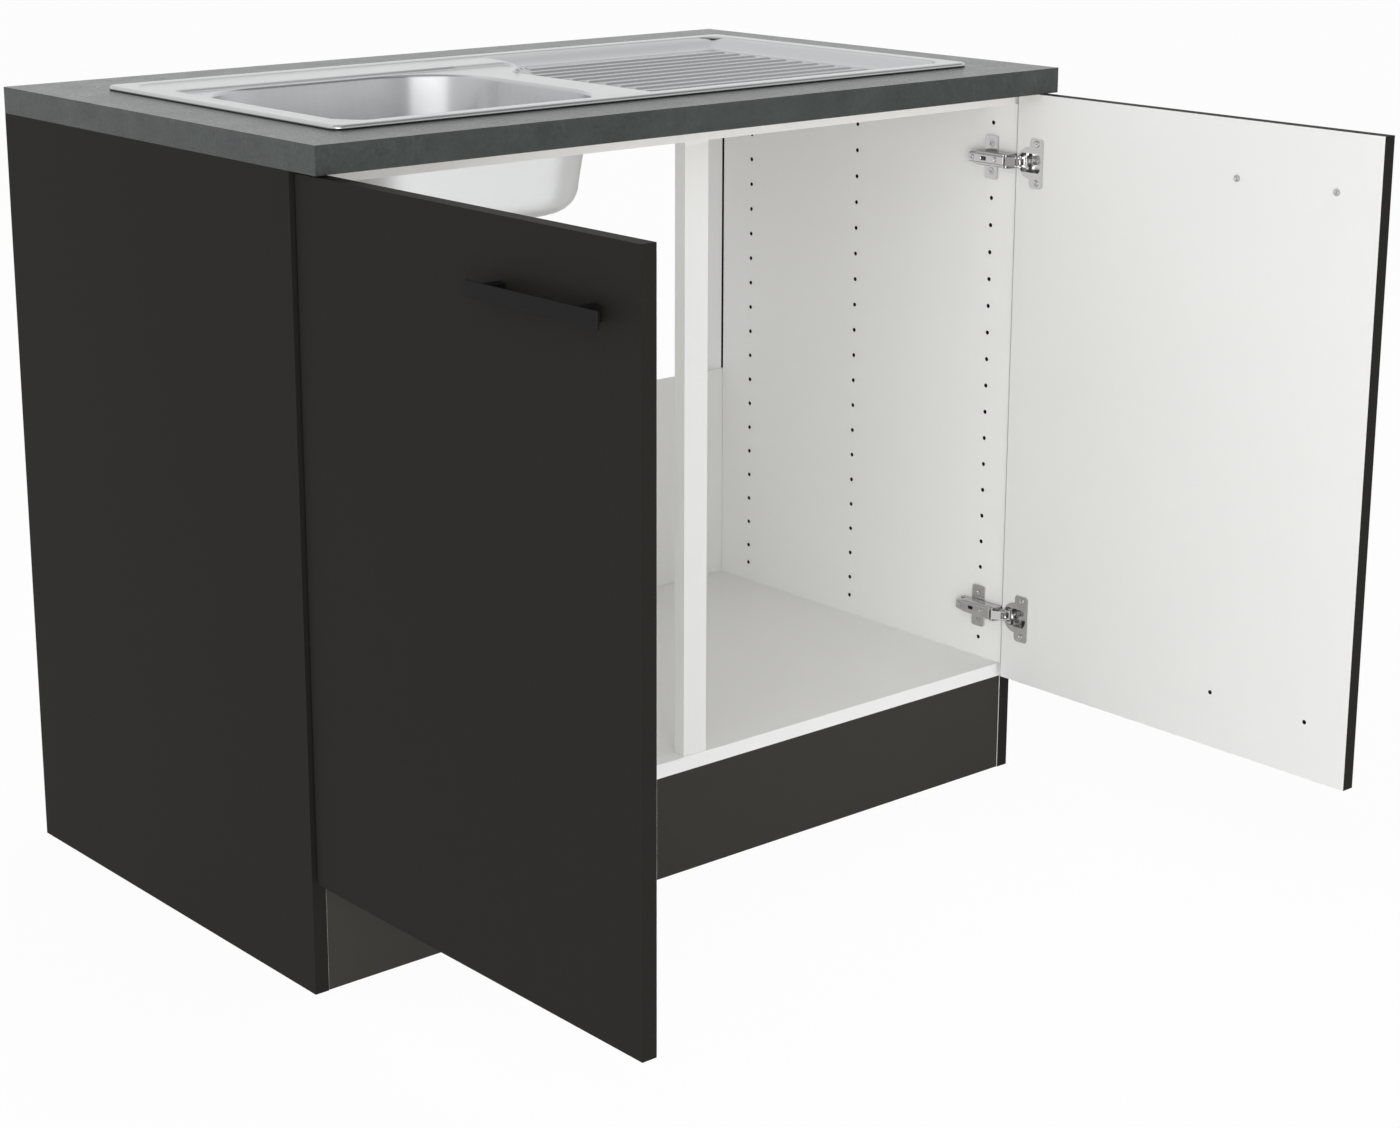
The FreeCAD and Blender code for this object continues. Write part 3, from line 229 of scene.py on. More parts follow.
def chipboard_group():
    """The raw core of a board: flakes of three browns, from a cell pattern whose cells are drawn
    out in one direction, with fine noise between them."""
    tree, start, end = new_group("board_core", [("Vector", "NodeSocketVector", None)], [
        ("Color", "NodeSocketColor"), ("Height", "NodeSocketFloat")])
    stretch = tree.nodes.new("ShaderNodeMapping")
    stretch.inputs["Scale"].default_value = (420, 420, 780)
    tree.links.new(start.outputs["Vector"], stretch.inputs["Vector"])
    flakes = tree.nodes.new("ShaderNodeTexVoronoi")
    flakes.inputs["Scale"].default_value = 1.0
    tree.links.new(stretch.outputs[0], flakes.inputs["Vector"])
    split = tree.nodes.new("ShaderNodeSeparateColor")
    tree.links.new(flakes.outputs["Color"], split.inputs[0])
    fine = noise_node(tree, start.outputs["Vector"], 1600.0, 2.0)
    brown = mix_colours(tree, split.outputs[0], (0.33, 0.23, 0.13, 1), (0.56, 0.43, 0.27, 1))
    specks = ramp_node(tree, fine, 0.4, 0.9, 0.0, 0.5)
    tree.links.new(mix_colours(tree, specks, brown, (0.2, 0.13, 0.07, 1)), end.inputs["Color"])
    tree.links.new(math_node(tree, "ADD", split.outputs[1], fine), end.inputs["Height"])
    return tree


def slate_group():
    """Slate print: two clouds, one broad and one of small flecks, set the tone between a dark and
    a light colour, and thin pale veins run where a warped noise crosses its middle value."""
    tree, start, end = new_group("slate_print", [
        ("Vector", "NodeSocketVector", None), ("Dark", "NodeSocketColor", (0.04, 0.05, 0.05, 1)),
        ("Light", "NodeSocketColor", (0.1, 0.12, 0.12, 1)), ("Scale", "NodeSocketFloat", 1.0)], [
        ("Color", "NodeSocketColor"), ("Tone", "NodeSocketFloat"), ("Height", "NodeSocketFloat")])
    vector = scaled(tree, start.outputs["Vector"], start.outputs["Scale"])
    broad = noise_node(tree, vector, 26.0, 6.0, 0.62)
    flecks = noise_node(tree, vector, 260.0, 4.0, 0.7)
    grit = noise_node(tree, vector, 1300.0, 2.0)
    tone = math_node(tree, "ADD", ramp_node(tree, broad, 0.3, 0.7, 0.0, 0.45),
                     ramp_node(tree, flecks, 0.35, 0.65, 0.0, 0.5))
    warped = noise_node(tree, vector, 9.0, 7.0, 0.6)
    vein = math_node(tree, "ABSOLUTE", math_node(tree, "SUBTRACT", warped, 0.5))
    line = ramp_node(tree, vein, 0.0, 0.012, 0.22, 0.0)
    tone = math_node(tree, "ADD", tone, line, True)
    colour = mix_colours(tree, tone, start.outputs["Dark"], start.outputs["Light"])
    tree.links.new(colour, end.inputs["Color"])
    tree.links.new(tone, end.inputs["Tone"])
    tree.links.new(math_node(tree, "MULTIPLY", grit, 0.5), end.inputs["Height"])
    return tree


def brushed_group():
    """Brushed or rolled metal: noise whose cells are drawn out along the brush direction by the
    Stretch scale. It gives fine lines for the height and a faint change of roughness and shade."""
    tree, start, end = new_group("brushed_lines", [
        ("Vector", "NodeSocketVector", None), ("Stretch", "NodeSocketVector", (6, 700, 700)),
        ("Color", "NodeSocketColor", (0.6, 0.6, 0.6, 1)), ("Roughness", "NodeSocketFloat", 0.3),
        ("Lines", "NodeSocketFloat", 0.1)], [
        ("Color", "NodeSocketColor"), ("Roughness", "NodeSocketFloat"), ("Height", "NodeSocketFloat")])
    stretch = tree.nodes.new("ShaderNodeVectorMath")
    stretch.operation = "MULTIPLY"
    tree.links.new(start.outputs["Vector"], stretch.inputs[0])
    tree.links.new(start.outputs["Stretch"], stretch.inputs[1])
    lines = noise_node(tree, stretch.outputs[0], 1.0, 3.0, 0.6)
    smear = noise_node(tree, start.outputs["Vector"], 14.0, 3.0)
    shade = around(tree, 1.0, lines, start.outputs["Lines"])
    tree.links.new(scaled(tree, start.outputs["Color"], shade), end.inputs["Color"])
    rough = around(tree, start.outputs["Roughness"], lines, start.outputs["Lines"])
    tree.links.new(around(tree, rough, smear, 0.06), end.inputs["Roughness"])
    tree.links.new(lines, end.inputs["Height"])
    return tree


def speckle_group():
    """Powder coat, moulded plastic and rubber: one noise of the given size for the surface's
    texture, and a broad one for a faint change of shade."""
    tree, start, end = new_group("fine_speckle", [
        ("Vector", "NodeSocketVector", None), ("Color", "NodeSocketColor", (0.5, 0.5, 0.5, 1)),
        ("Scale", "NodeSocketFloat", 1200.0), ("Shade", "NodeSocketFloat", 0.2)], [
        ("Color", "NodeSocketColor"), ("Height", "NodeSocketFloat")])
    grains = noise_node(tree, start.outputs["Vector"], start.outputs["Scale"], 3.0)
    broad = noise_node(tree, start.outputs["Vector"], 60.0, 2.0)
    shade = around(tree, 1.0, broad, start.outputs["Shade"])
    tree.links.new(scaled(tree, start.outputs["Color"], shade), end.inputs["Color"])
    tree.links.new(grains, end.inputs["Height"])
    return tree


FOIL = melamine_group()
CORE = chipboard_group()
SLATE = slate_group()
BRUSHED = brushed_group()
SPECKLE = speckle_group()


# ---------------------------------------------------------------- materials
def start_material(name, roughness, metallic=0.0, gloss=0.5):
    """A material with a Principled shader and the piece's own Object coordinates."""
    material = bpy.data.materials.new(name)
    material.use_nodes = True
    tree = material.node_tree
    shader = tree.nodes["Principled BSDF"]
    shader.inputs["Roughness"].default_value = roughness
    shader.inputs["Metallic"].default_value = metallic
    shader.inputs["Specular IOR Level"].default_value = gloss
    place = tree.nodes.new("ShaderNodeTexCoord").outputs["Object"]
    return material, tree, shader, place


def put_group(tree, group, place, **values):
    node = tree.nodes.new("ShaderNodeGroup")
    node.node_tree = group
    tree.links.new(place, node.inputs["Vector"])
    for label, value in values.items():
        node.inputs[label.replace("_", " ")].default_value = value
    return node.outputs


def put_bump(tree, shader, height, distance):
    bump = tree.nodes.new("ShaderNodeBump")
    bump.inputs["Distance"].default_value = distance
    bump.inputs["Strength"].default_value = 1.0
    tree.links.new(height, bump.inputs["Height"])
    tree.links.new(bump.outputs[0], shader.inputs["Normal"])


def axis_of(tree, place, axis):
    split = tree.nodes.new("ShaderNodeSeparateXYZ")
    tree.links.new(place, split.inputs[0])
    return split.outputs[axis]


def above(tree, value, limit):
    return math_node(tree, "GREATER_THAN", value, limit)


def below(tree, value, limit):
    return math_node(tree, "LESS_THAN", value, limit)


def board(name, colour, roughness, cloud=0.05, gloss=0.4):
    """A board with one foil colour on every face."""
    material, tree, shader, place = start_material(name, roughness, gloss=gloss)
    foil = put_group(tree, FOIL, place, Color=(*colour, 1), Cloud=cloud, Roughness=roughness)
    tree.links.new(foil["Color"], shader.inputs["Base Color"])
    tree.links.new(foil["Roughness"], shader.inputs["Roughness"])
    put_bump(tree, shader, foil["Height"], 0.00005)
    return material


def all_of(tree, place, tests):
    """1 where every (axis, sign, limit) test holds: the coordinate is above the limit if the sign
    is positive and below it if not."""
    mask = None
    for axis, sign, limit in tests:
        value = axis_of(tree, place, axis)
        one = above(tree, value, limit) if sign > 0 else below(tree, value, limit)
        mask = one if mask is None else math_node(tree, "MULTIPLY", mask, one)
    return mask


def two_faced_board(name, sign, limit, outside, inside, lip=(), holes=(), sawn=()):
    """A board whose face past the limit in X is white, as is its lip, and whose other faces are
    dark. Inside the holes the colour is a near-black painted shade that stands in for their
    shadow, and the sawn faces show the core. The lip, the holes and the sawn faces are given as tests."""
    material, tree, shader, place = start_material(name, 0.55, gloss=0.07)
    dark = put_group(tree, FOIL, place, Color=(*outside, 1), Cloud=0.05, Roughness=0.58)
    pale = put_group(tree, FOIL, place, Color=(*inside, 1), Cloud=0.03, Roughness=0.42)
    colour = mix_colours(tree, all_of(tree, place, ((0, sign, limit),)), dark["Color"], pale["Color"])
    if lip:
        colour = mix_colours(tree, all_of(tree, place, lip), colour, pale["Color"])
    # Painted shade: the holes get a near-black colour in place of the shadow inside them.
    if holes:
        colour = mix_colours(tree, all_of(tree, place, holes), colour, (0.012, 0.010, 0.008, 1))
    if sawn:
        core = put_group(tree, CORE, place)
        colour = mix_colours(tree, all_of(tree, place, sawn), colour, core["Color"])
    tree.links.new(colour, shader.inputs["Base Color"])
    tree.links.new(dark["Roughness"], shader.inputs["Roughness"])
    put_bump(tree, shader, dark["Height"], 0.00005)
    return material


def metal(name, colour, roughness, stretch, lines=0.1, relief=0.000004):
    """Bare or plated metal with brush lines along the axis of the smallest stretch."""
    material, tree, shader, place = start_material(name, roughness, 1.0)
    brushed = put_group(tree, BRUSHED, place, Stretch=stretch, Color=(*colour, 1),
                        Roughness=roughness, Lines=lines)
    tree.links.new(brushed["Color"], shader.inputs["Base Color"])
    tree.links.new(brushed["Roughness"], shader.inputs["Roughness"])
    put_bump(tree, shader, brushed["Height"], relief)
    return material


def grained(name, colour, roughness, scale, relief, gloss=0.4):
    """Coated metal, plastic, foam, rubber or beech with a fine speckled surface."""
    material, tree, shader, place = start_material(name, roughness, gloss=gloss)
    speckle = put_group(tree, SPECKLE, place, Color=(*colour, 1), Scale=scale, Shade=0.15)
    tree.links.new(speckle["Color"], shader.inputs["Base Color"])
    put_bump(tree, shader, speckle["Height"], relief)
    return material


def slate_top(name):
    """Laminated worktop: slate print on top and on the front and side edges, a raw sawn edge at
    the back and in the cut-out, and a brown balancing sheet underneath."""
    material, tree, shader, place = start_material(name, 0.3, gloss=0.36)
    slate = put_group(tree, SLATE, place, Dark=(0.016, 0.021, 0.020, 1),
                      Light=(0.052, 0.063, 0.060, 1), Scale=1.0)
    core = put_group(tree, CORE, place)
    x, y, z = (axis_of(tree, place, a) for a in (0, 1, 2))
    print_top = above(tree, z, WORKTOP_TOP - SKIN)
    ends = above(tree, math_node(tree, "ABSOLUTE", x), HALF_WIDTH - SKIN)
    front = below(tree, y, WORKTOP_FRONT + SKIN)
    printed = math_node(tree, "MAXIMUM", math_node(tree, "MAXIMUM", print_top, ends), front)
    under = below(tree, z, WORKTOP_TOP - WORKTOP_THICK + SKIN)
    raw = mix_colours(tree, under, core["Color"], (0.36, 0.27, 0.19, 1))
    tree.links.new(mix_colours(tree, printed, raw, slate["Color"]), shader.inputs["Base Color"])
    tree.links.new(ramp_node(tree, slate["Tone"], 0.0, 1.0, 0.34, 0.24), shader.inputs["Roughness"])
    put_bump(tree, shader, slate["Height"], 0.00025)
    return material


DARK = (0.0140, 0.0133, 0.0114)
# The inside white is the doors' and post's white foil made lighter: painted light for the shaded faces
# inside the cabinet (side panels, shelf and rails).
WHITE_WITH_PAINTED_LIGHT = (0.88, 0.88, 0.865)
PLAIN_WHITE = (0.80, 0.80, 0.785)


def side_panel_material(name, sign):
    """A side panel: dark outside and on its front edge, white inside in a white lightened as painted
    light, with painted shade in its bores and groove, and sawn at the back.
    """
    inner, outer = sign * (INNER_SIDE + THIN_SKIN), sign * (HALF_WIDTH - SKIN)
    front, back = CABINET_FRONT + SKIN, CABINET_BACK - SKIN
    within = ((0, sign, inner), (0, -sign, outer))
    lip = ((0, -sign, sign * (INNER_SIDE + WHITE_LIP)), (1, -1, front), (2, 1, DOOR_BOTTOM))
    # Painted shade mask: inside the board between its front and back, which only the bores and the groove
    # show; coloured near black for their shadow.
    holes = within + ((1, 1, front), (1, -1, back))
    sawn = within + ((1, 1, back),)
    return two_faced_board(name, -sign, inner, DARK, WHITE_WITH_PAINTED_LIGHT, lip, holes, sawn)


materials = {
    "worktop": slate_top("slate_laminate"),
    "side_panel_left": side_panel_material("left_side_board", -1),
    "side_panel_right": side_panel_material("right_side_board", 1),
    "door_left": two_faced_board("left_door_board", 1, -DOOR_FACE - THIN_SKIN, DARK, PLAIN_WHITE),
    "door_right": two_faced_board("right_door_board", -1, DOOR_FACE + THIN_SKIN, DARK, PLAIN_WHITE),
    "plinth_board": board("plinth_foil", (0.037, 0.035, 0.0295), 0.5, gloss=0.10),
    # painted light: the shelf and the rails take the lightened inside white
    "bottom_shelf": board("white_foil_with_painted_light", WHITE_WITH_PAINTED_LIGHT, 0.42, 0.03),
    "centre_post": board("post_foil", PLAIN_WHITE, 0.42, 0.03),
    "back_panel": board("white_hardboard", (0.76, 0.76, 0.745), 0.5, 0.04),
    "dowels": grained("beech", (0.60, 0.44, 0.27), 0.6, 900.0, 0.00006),
    "cams": metal("bright_zinc", (0.62, 0.62, 0.60), 0.34, (300, 300, 300)),
    "sink": metal("brushed_stainless", (0.50, 0.505, 0.51), 0.24, (5, 900, 900), 0.05, 0.0000006),
    "sink_underside": metal("dull_stainless", (0.80, 0.805, 0.81), 0.38, (5, 900, 900), 0.06),
    "waste_flange": metal("turned_stainless", (0.68, 0.685, 0.69), 0.20, (500, 500, 500), 0.06),
    "hinge_arms_left": metal("nickel_plate", (0.54, 0.535, 0.53), 0.19, (180, 180, 180), 0.05),
    "handle_left": grained("black_powder_coat", (0.0070, 0.0070, 0.0072), 0.45, 1500.0, 0.00003, 0.08),
    "sink_seal": grained("seal_foam_black", (0.035, 0.035, 0.035), 0.8, 700.0, 0.0002),
    "waste_gasket": grained("seal_rubber_black", (0.02, 0.02, 0.02), 0.55, 900.0, 0.00005),
    "waste_body": grained("white_moulding", (0.78, 0.78, 0.76), 0.38, 1200.0, 0.00004),
}
SAME_FINISH = {
    "door_edging_left": "door_left", "door_edging_right": "door_right",
    "front_rail": "bottom_shelf", "rear_rail": "bottom_shelf",
    "cam_bolts": "cams", "worktop_screws": "cams", "sink_clips": "cams",
    "clip_screws": "cams", "waste_screw": "waste_flange", "strainer_basket": "waste_flange",
    "handle_right": "handle_left", "handle_screws_left": "cams", "handle_screws_right": "cams",
}
for piece in ("hinge_plates", "plate_screws", "hinge_arms", "adjusting_screws", "arm_pins",
              "inner_links", "outer_links", "hinge_cups", "cup_pins", "cup_screws"):
    for side in ("left", "right"):
        SAME_FINISH[piece + "_" + side] = "hinge_arms_left"
for name, other in SAME_FINISH.items():
    materials.setdefault(name, materials[other])
for name, node in nodes.items():
    node.data.materials.clear()
    node.data.materials.append(materials[name])


# ---------------------------------------------------------------- mesh tools
def smooth_step(t):
    """0 below 0, 1 above 1, and 3 t^2 - 2 t^3 between."""
    t = np.clip(t, 0.0, 1.0)
    return t * t * (3.0 - 2.0 * t)


def grid_faces(rows, columns, closed=False, first=0):
    """Faces of a rows by columns grid of points, whose last column joins the first if closed."""
    number = np.arange(rows * columns).reshape(rows, columns) + first
    a = number[:-1, :] if closed else number[:-1, :-1]
    b = np.roll(number, -1, 1)[:-1, :] if closed else number[:-1, 1:]
    c = np.roll(number, -1, 1)[1:, :] if closed else number[1:, 1:]
    d = number[1:, :] if closed else number[1:, :-1]
    return np.stack([a, b, c, d], -1).reshape(-1, 4)


def mesh_piece(name, grids, material, join=1e-6, towards=None, holes=None):
    """One object from several grids, each (points of shape rows, columns, 3; closed), whose
    points that meet are joined, with its normals pointing out and smooth faces. An open sheet is
    turned over as a whole if its faces, weighed by area, don't point towards the given direction.
    Faces whose middle the function holes marks are left out."""
    points, faces, first = [], [], 0
    for surface, closed in grids:
        rows, columns = surface.shape[:2]
        points.append(surface.reshape(-1, 3))
        faces.append(grid_faces(rows, columns, closed, first))
        first += rows * columns
    points, faces = np.concatenate(points), np.concatenate(faces)
    if holes is not None:
        faces = faces[~holes(points[faces].mean(1))]
    mesh = bpy.data.meshes.new(name)
    mesh.from_pydata(points.tolist(), [], faces.tolist())
    work = bmesh.new()
    work.from_mesh(mesh)
    bmesh.ops.remove_doubles(work, verts=work.verts, dist=join)
    bmesh.ops.dissolve_degenerate(work, edges=work.edges, dist=join)
    bmesh.ops.recalc_face_normals(work, faces=work.faces)
    if towards is not None and sum(f.normal.dot(Vector(towards)) * f.calc_area() for f in work.faces) < 0:
        bmesh.ops.reverse_faces(work, faces=work.faces)
    work.to_mesh(mesh)
    work.free()
    mesh.polygons.foreach_set("use_smooth", np.ones(len(mesh.polygons), bool))
    mesh.materials.append(material)
    piece = bpy.data.objects.new(name, mesh)
    scene.collection.objects.link(piece)
    return piece


def add_thickness(piece, thickness):
    """A sheet's second face, behind the one that is drawn."""
    wall = piece.modifiers.new("sheet", "SOLIDIFY")
    wall.thickness = thickness
    wall.offset = -1


# ---------------------------------------------------------------- sink pressing
def box_distance(x, y, low, high, radius):
    """Signed distance to a rectangle with round corners, negative inside:
    length(max(q, 0)) + min(max(q), 0) - radius, with q = |p - middle| - half + radius."""
    qx = np.abs(x - (low[0] + high[0]) / 2) - (high[0] - low[0]) / 2 + radius
    qy = np.abs(y - (low[1] + high[1]) / 2) - (high[1] - low[1]) / 2 + radius
    outer = np.hypot(np.maximum(qx, 0), np.maximum(qy, 0))
    return outer + np.minimum(np.maximum(qx, qy), 0) - radius


def polygon_distance(x, y, corners):
    """Signed distance to a polygon, negative inside: the smallest distance to its sides, with the
    sign from how often a ray to the right crosses them."""
    best = np.full(x.shape, 1e9)
    inside = np.zeros(x.shape, bool)
    for (ax, ay), (bx, by) in zip(corners, corners[1:] + corners[:1]):
        ex, ey = bx - ax, by - ay
        t = np.clip(((x - ax) * ex + (y - ay) * ey) / (ex * ex + ey * ey), 0, 1)
        best = np.minimum(best, np.hypot(x - ax - t * ex, y - ay - t * ey))
        if ay != by:
            crosses = ((ay > y) != (by > y)) & (x < ax + (y - ay) * ex / ey)
            inside ^= crosses
    return np.where(inside, -best, best)


def pan_outline(inset):
    """The drainer pan's corners, drawn in by the inset as in the part's source."""
    left, right = PAN_LEFT + inset, SINK_RIGHT - BAND - 0.001 - inset
    front, back = SINK_FRONT + BAND + 0.002 + inset, SINK_BACK - BAND - inset
    tip_x, tip_y = LEDGE_TIP + 0.5 * inset, LEDGE_FRONT - 0.6 * inset
    return [(left, front), (right, front), (right, back), (tip_x + 0.008, back),
            (tip_x, tip_y), (left, tip_y - PAN_NOTCH)]


def rib_lines():
    """Y of each rib's middle line, front first."""
    return RIB_MIDDLE + (np.arange(len(RIB_STARTS)) - (len(RIB_STARTS) - 1) / 2) * RIB_PITCH


def deck_height(x, y):
    """Height of the sink's deck: the platform, less the larger of the bowl surround's drop and the
    drainer pan's depth, each a smooth step of the distance inside its outline, plus the ribs,
    whose section is cos^2 of the distance from a line segment."""
    surround = box_distance(x, y, SURROUND_LOW, SURROUND_HIGH, SURROUND_CORNER)
    pan = polygon_distance(x, y, pan_outline(PAN_CORNER)) - PAN_CORNER
    drop = SURROUND_DROP * smooth_step(-surround / SURROUND_STEP)
    steep = smooth_step(-pan / PAN_SLOPE)
    slope = np.clip(-pan / PAN_SLOPE, 0, 1)
    height = PLATFORM - np.maximum(drop, PAN_DEPTH * (0.35 * steep + 0.65 * slope))
    for start, line in zip(RIB_STARTS, rib_lines()):
        away = np.hypot(x - np.clip(x, start, RIB_END), y - line)
        height = height + RIB_RISE * np.cos(np.pi / 2 * np.clip(away / RIB_HALF, 0, 1)) ** 1.6
    return height


def bowl_radius(angle, inset, corner):
    """Distance from the bowl's middle to a rectangle with round corners, drawn in by the inset, at
    each angle: read off a dense run of points round that outline."""
    half = np.array(BOWL_HALF) - inset
    corner = np.minimum(corner, half.min())
    points = 2881
    turn = np.linspace(0, 2 * np.pi, points)
    way = np.stack([np.cos(turn), np.sin(turn)])
    core = (half - corner)[:, None]
    reach = np.clip(way * 1e3, -core, core)
    # points round the outline: each corner's centre plus the corner's arc, and the sides between
    arc = reach + corner * way
    dense = np.concatenate([np.linspace(arc[:, i], arc[:, (i + 1) % points], 6, endpoint=False)
                            for i in range(points)])
    along = np.unwrap(np.arctan2(dense[:, 1], dense[:, 0]))
    length = np.hypot(dense[:, 0], dense[:, 1])
    order = np.argsort(np.mod(along, 2 * np.pi))
    return np.interp(np.mod(angle, 2 * np.pi), np.mod(along, 2 * np.pi)[order], length[order],
                     period=2 * np.pi)


def split_rows():
    """Heights of the drainer's mesh lines along Y: close together across each rib, wide between."""
    front, back = SINK_FRONT + BAND, SINK_BACK - BAND
    fine = np.linspace(-RIB_HALF, RIB_HALF, 9)
    rows = np.unique(np.concatenate([line + fine for line in rib_lines()]))
    wide = np.concatenate([np.arange(front + 0.003, rows[0] - 0.001, 0.0030),
                           np.arange(rows[-1] + 0.001, back - 0.0008, 0.0019)])
    between = rib_lines()[:-1, None] + RIB_PITCH / 2 + np.linspace(-0.0040, 0.0040, 3)
    return np.unique(np.concatenate([rows, wide, between.ravel(), [front, back]]))


def deck_right():
    """The drainer half of the deck. Lines of constant x carry the same share of the way from the
    front edge to the back edge, and both edges follow the band's round corners."""
    right, front, back = SINK_RIGHT - BAND, SINK_FRONT + BAND, SINK_BACK - BAND
    bend = right - BAND_CORNER
    x = np.concatenate([np.arange(SPLIT, 0.072, 0.0021), np.arange(0.074, 0.352, 0.0135),
                        np.arange(0.354, bend - 0.001, 0.0024),
                        bend + BAND_CORNER * np.sin(np.linspace(0, np.pi / 2, 11))])
    rise = BAND_CORNER - np.sqrt(np.maximum(BAND_CORNER ** 2 - np.maximum(x - bend, 0) ** 2, 0))
    share = (split_rows() - front) / (back - front)
    grid_x = np.broadcast_to(x, (len(share), len(x)))
    grid_y = (front + rise) + share[:, None] * (back - front - 2 * rise)
    return np.stack([grid_x, grid_y, deck_height(grid_x, grid_y)], -1)


def left_outline():
    """Points round the bowl half of the deck: up the split, then back, left and front edges."""
    left, front, back = SINK_LEFT + BAND, SINK_FRONT + BAND, SINK_BACK - BAND
    rows = split_rows()
    bend, turn = BAND_CORNER, np.linspace(0, np.pi / 2, 9)
    up = np.stack([np.full(len(rows), SPLIT), rows], -1)
    across = np.linspace(SPLIT, left + bend, 84)[1:]
    top = np.stack([across, np.full(len(across), back)], -1)
    arc1 = np.stack([left + bend - bend * np.sin(turn), back - bend + bend * np.cos(turn)], -1)[1:]
    down = np.linspace(back - bend, front + bend, 74)[1:]
    side = np.stack([np.full(len(down), left), down], -1)
    arc2 = np.stack([left + bend - bend * np.cos(turn), front + bend - bend * np.sin(turn)], -1)[1:]
    low = np.stack([across[::-1][1:], np.full(len(across) - 1, front)], -1)
    return np.concatenate([up, top, arc1, side, arc2, low])


def surround_reach(middle, way, near, far):
    """Distance along each ray from the middle at which it leaves the bowl surround's outline, found
    on even steps from near to far, or far where the ray stays inside."""
    steps = 600
    reach = near + (far - near) * np.linspace(0, 1, steps)[:, None]
    inside = box_distance(middle[0] + way[:, 0] * reach, middle[1] + way[:, 1] * reach,
                          SURROUND_LOW, SURROUND_HIGH, SURROUND_CORNER) < 0
    return near + (far - near) * inside.sum(0) / steps


def deck_left_and_bowl():
    """The deck round the bowl and the bowl itself, as rings at fixed angles about the bowl's middle.
    The rings go from the deck's outline to the surround's, over its step, in to the bowl's edge,
    over a rolled edge, down the drafted wall, round the bend to the floor, in to the waste's
    recess and down its step to the hole."""
    outline = left_outline()
    middle = np.array(BOWL_MIDDLE)
    away = outline - middle
    angle = np.arctan2(away[:, 1], away[:, 0])
    far = np.hypot(away[:, 0], away[:, 1])
    way = np.stack([np.cos(angle), np.sin(angle)], -1)
    roll = 0.0038
    edge = bowl_radius(angle, 0.0, BOWL_CORNER) + roll
    rings = []
    brink = np.clip(surround_reach(middle, way, edge, far), edge + 0.0075, far)
    foot = np.maximum(brink - 0.0065, edge + 0.001)
    spans = [(far, brink, np.linspace(0, 1, 9)), (brink, foot, np.linspace(0, 1, 8)[1:]),
             (foot, edge, np.linspace(0, 1, 9)[1:])]
    for start, stop, shares in spans:
        for t in shares:
            place = middle + way * (start + (stop - start) * t)[:, None]
            rings.append(np.column_stack([place, deck_height(place[:, 0], place[:, 1])]))
    lip = rings[-1][:, 2]
    for a in np.linspace(0, np.pi / 2, 6)[1:]:
        place = middle + way * (edge - roll * np.sin(a))[:, None]
        rings.append(np.column_stack([place, lip - roll * (1 - np.cos(a))]))
    wall_top = lip - roll
    wall_low = BOWL_FLOOR + BOWL_BEND
    for t in np.linspace(0, 1, 7)[1:]:
        inset = BOWL_DRAFT * t
        place = middle + way * bowl_radius(angle, inset, BOWL_CORNER - inset / 2)[:, None]
        rings.append(np.column_stack([place, wall_top + (wall_low - wall_top) * t]))
    for b in np.linspace(0, np.pi / 2, 9)[1:]:
        bend = BOWL_BEND * (1 - np.cos(b))
        place = middle + way * bowl_radius(angle, BOWL_DRAFT + bend, BOWL_CORNER - 0.006 - bend)[:, None]
        rings.append(np.column_stack([place, np.full(len(angle), wall_low - BOWL_BEND * np.sin(b))]))
    floor_edge = np.hypot(*(rings[-1][:, :2] - middle).T)
    shoulder = RECESS_RADIUS + 0.002
    for t in np.linspace(0, 1, 7)[1:]:
        place = middle + way * (floor_edge + (shoulder - floor_edge) * t)[:, None]
        rings.append(np.column_stack([place, np.full(len(angle), BOWL_FLOOR)]))
    for t in (0.25, 0.5, 0.75, 1.0):
        place = middle + way * (shoulder - 0.0025 * t)
        depth = RECESS_DEPTH * smooth_step(t)
        rings.append(np.column_stack([place, np.full(len(angle), BOWL_FLOOR - depth)]))
    place = middle + way * WASTE_HOLE
    rings.append(np.column_stack([place, np.full(len(angle), BOWL_FLOOR - RECESS_DEPTH)]))
    return np.stack(rings)


def rim_band(inner):
    """The raised band and turned-down lip, carried out from the deck's outline. Each inner point q
    has an outward normal n, and the outer point is its partner on the sink's own outline. The
    section steps up 1.5 mm, runs level, and rolls down through a quarter circle to the lip."""
    centre = np.array([0.0, (SINK_FRONT + SINK_BACK) / 2])
    half = np.array([(SINK_RIGHT - SINK_LEFT) / 2, (SINK_BACK - SINK_FRONT) / 2])
    inner_span, outer_span = half - BAND - BAND_CORNER, half - SINK_CORNER
    core = np.clip(inner - centre, -inner_span, inner_span)
    normal = inner - centre - core
    normal /= np.linalg.norm(normal, axis=1)[:, None]
    outer = centre + core * (outer_span / inner_span) + normal * SINK_CORNER
    rings = []
    step, roll = 0.0032, 0.0032
    for t in np.linspace(0, 1, 5):
        rings.append((inner + normal * step * t, PLATFORM + (SINK_TOP - PLATFORM) * smooth_step(t)))
    from_here, to_here = inner + normal * step, outer - normal * roll
    for t in (0.35, 0.7, 1.0):
        rings.append((from_here + (to_here - from_here) * t, SINK_TOP))
    for a in np.linspace(0, np.pi / 2, 6)[1:]:
        rings.append((outer - normal * roll * (1 - np.sin(a)), SINK_TOP - roll * (1 - np.cos(a))))
    rings.append((outer, WORKTOP_TOP + 0.0003))
    return np.stack([np.column_stack([place, np.full(len(place), z)]) for place, z in rings])


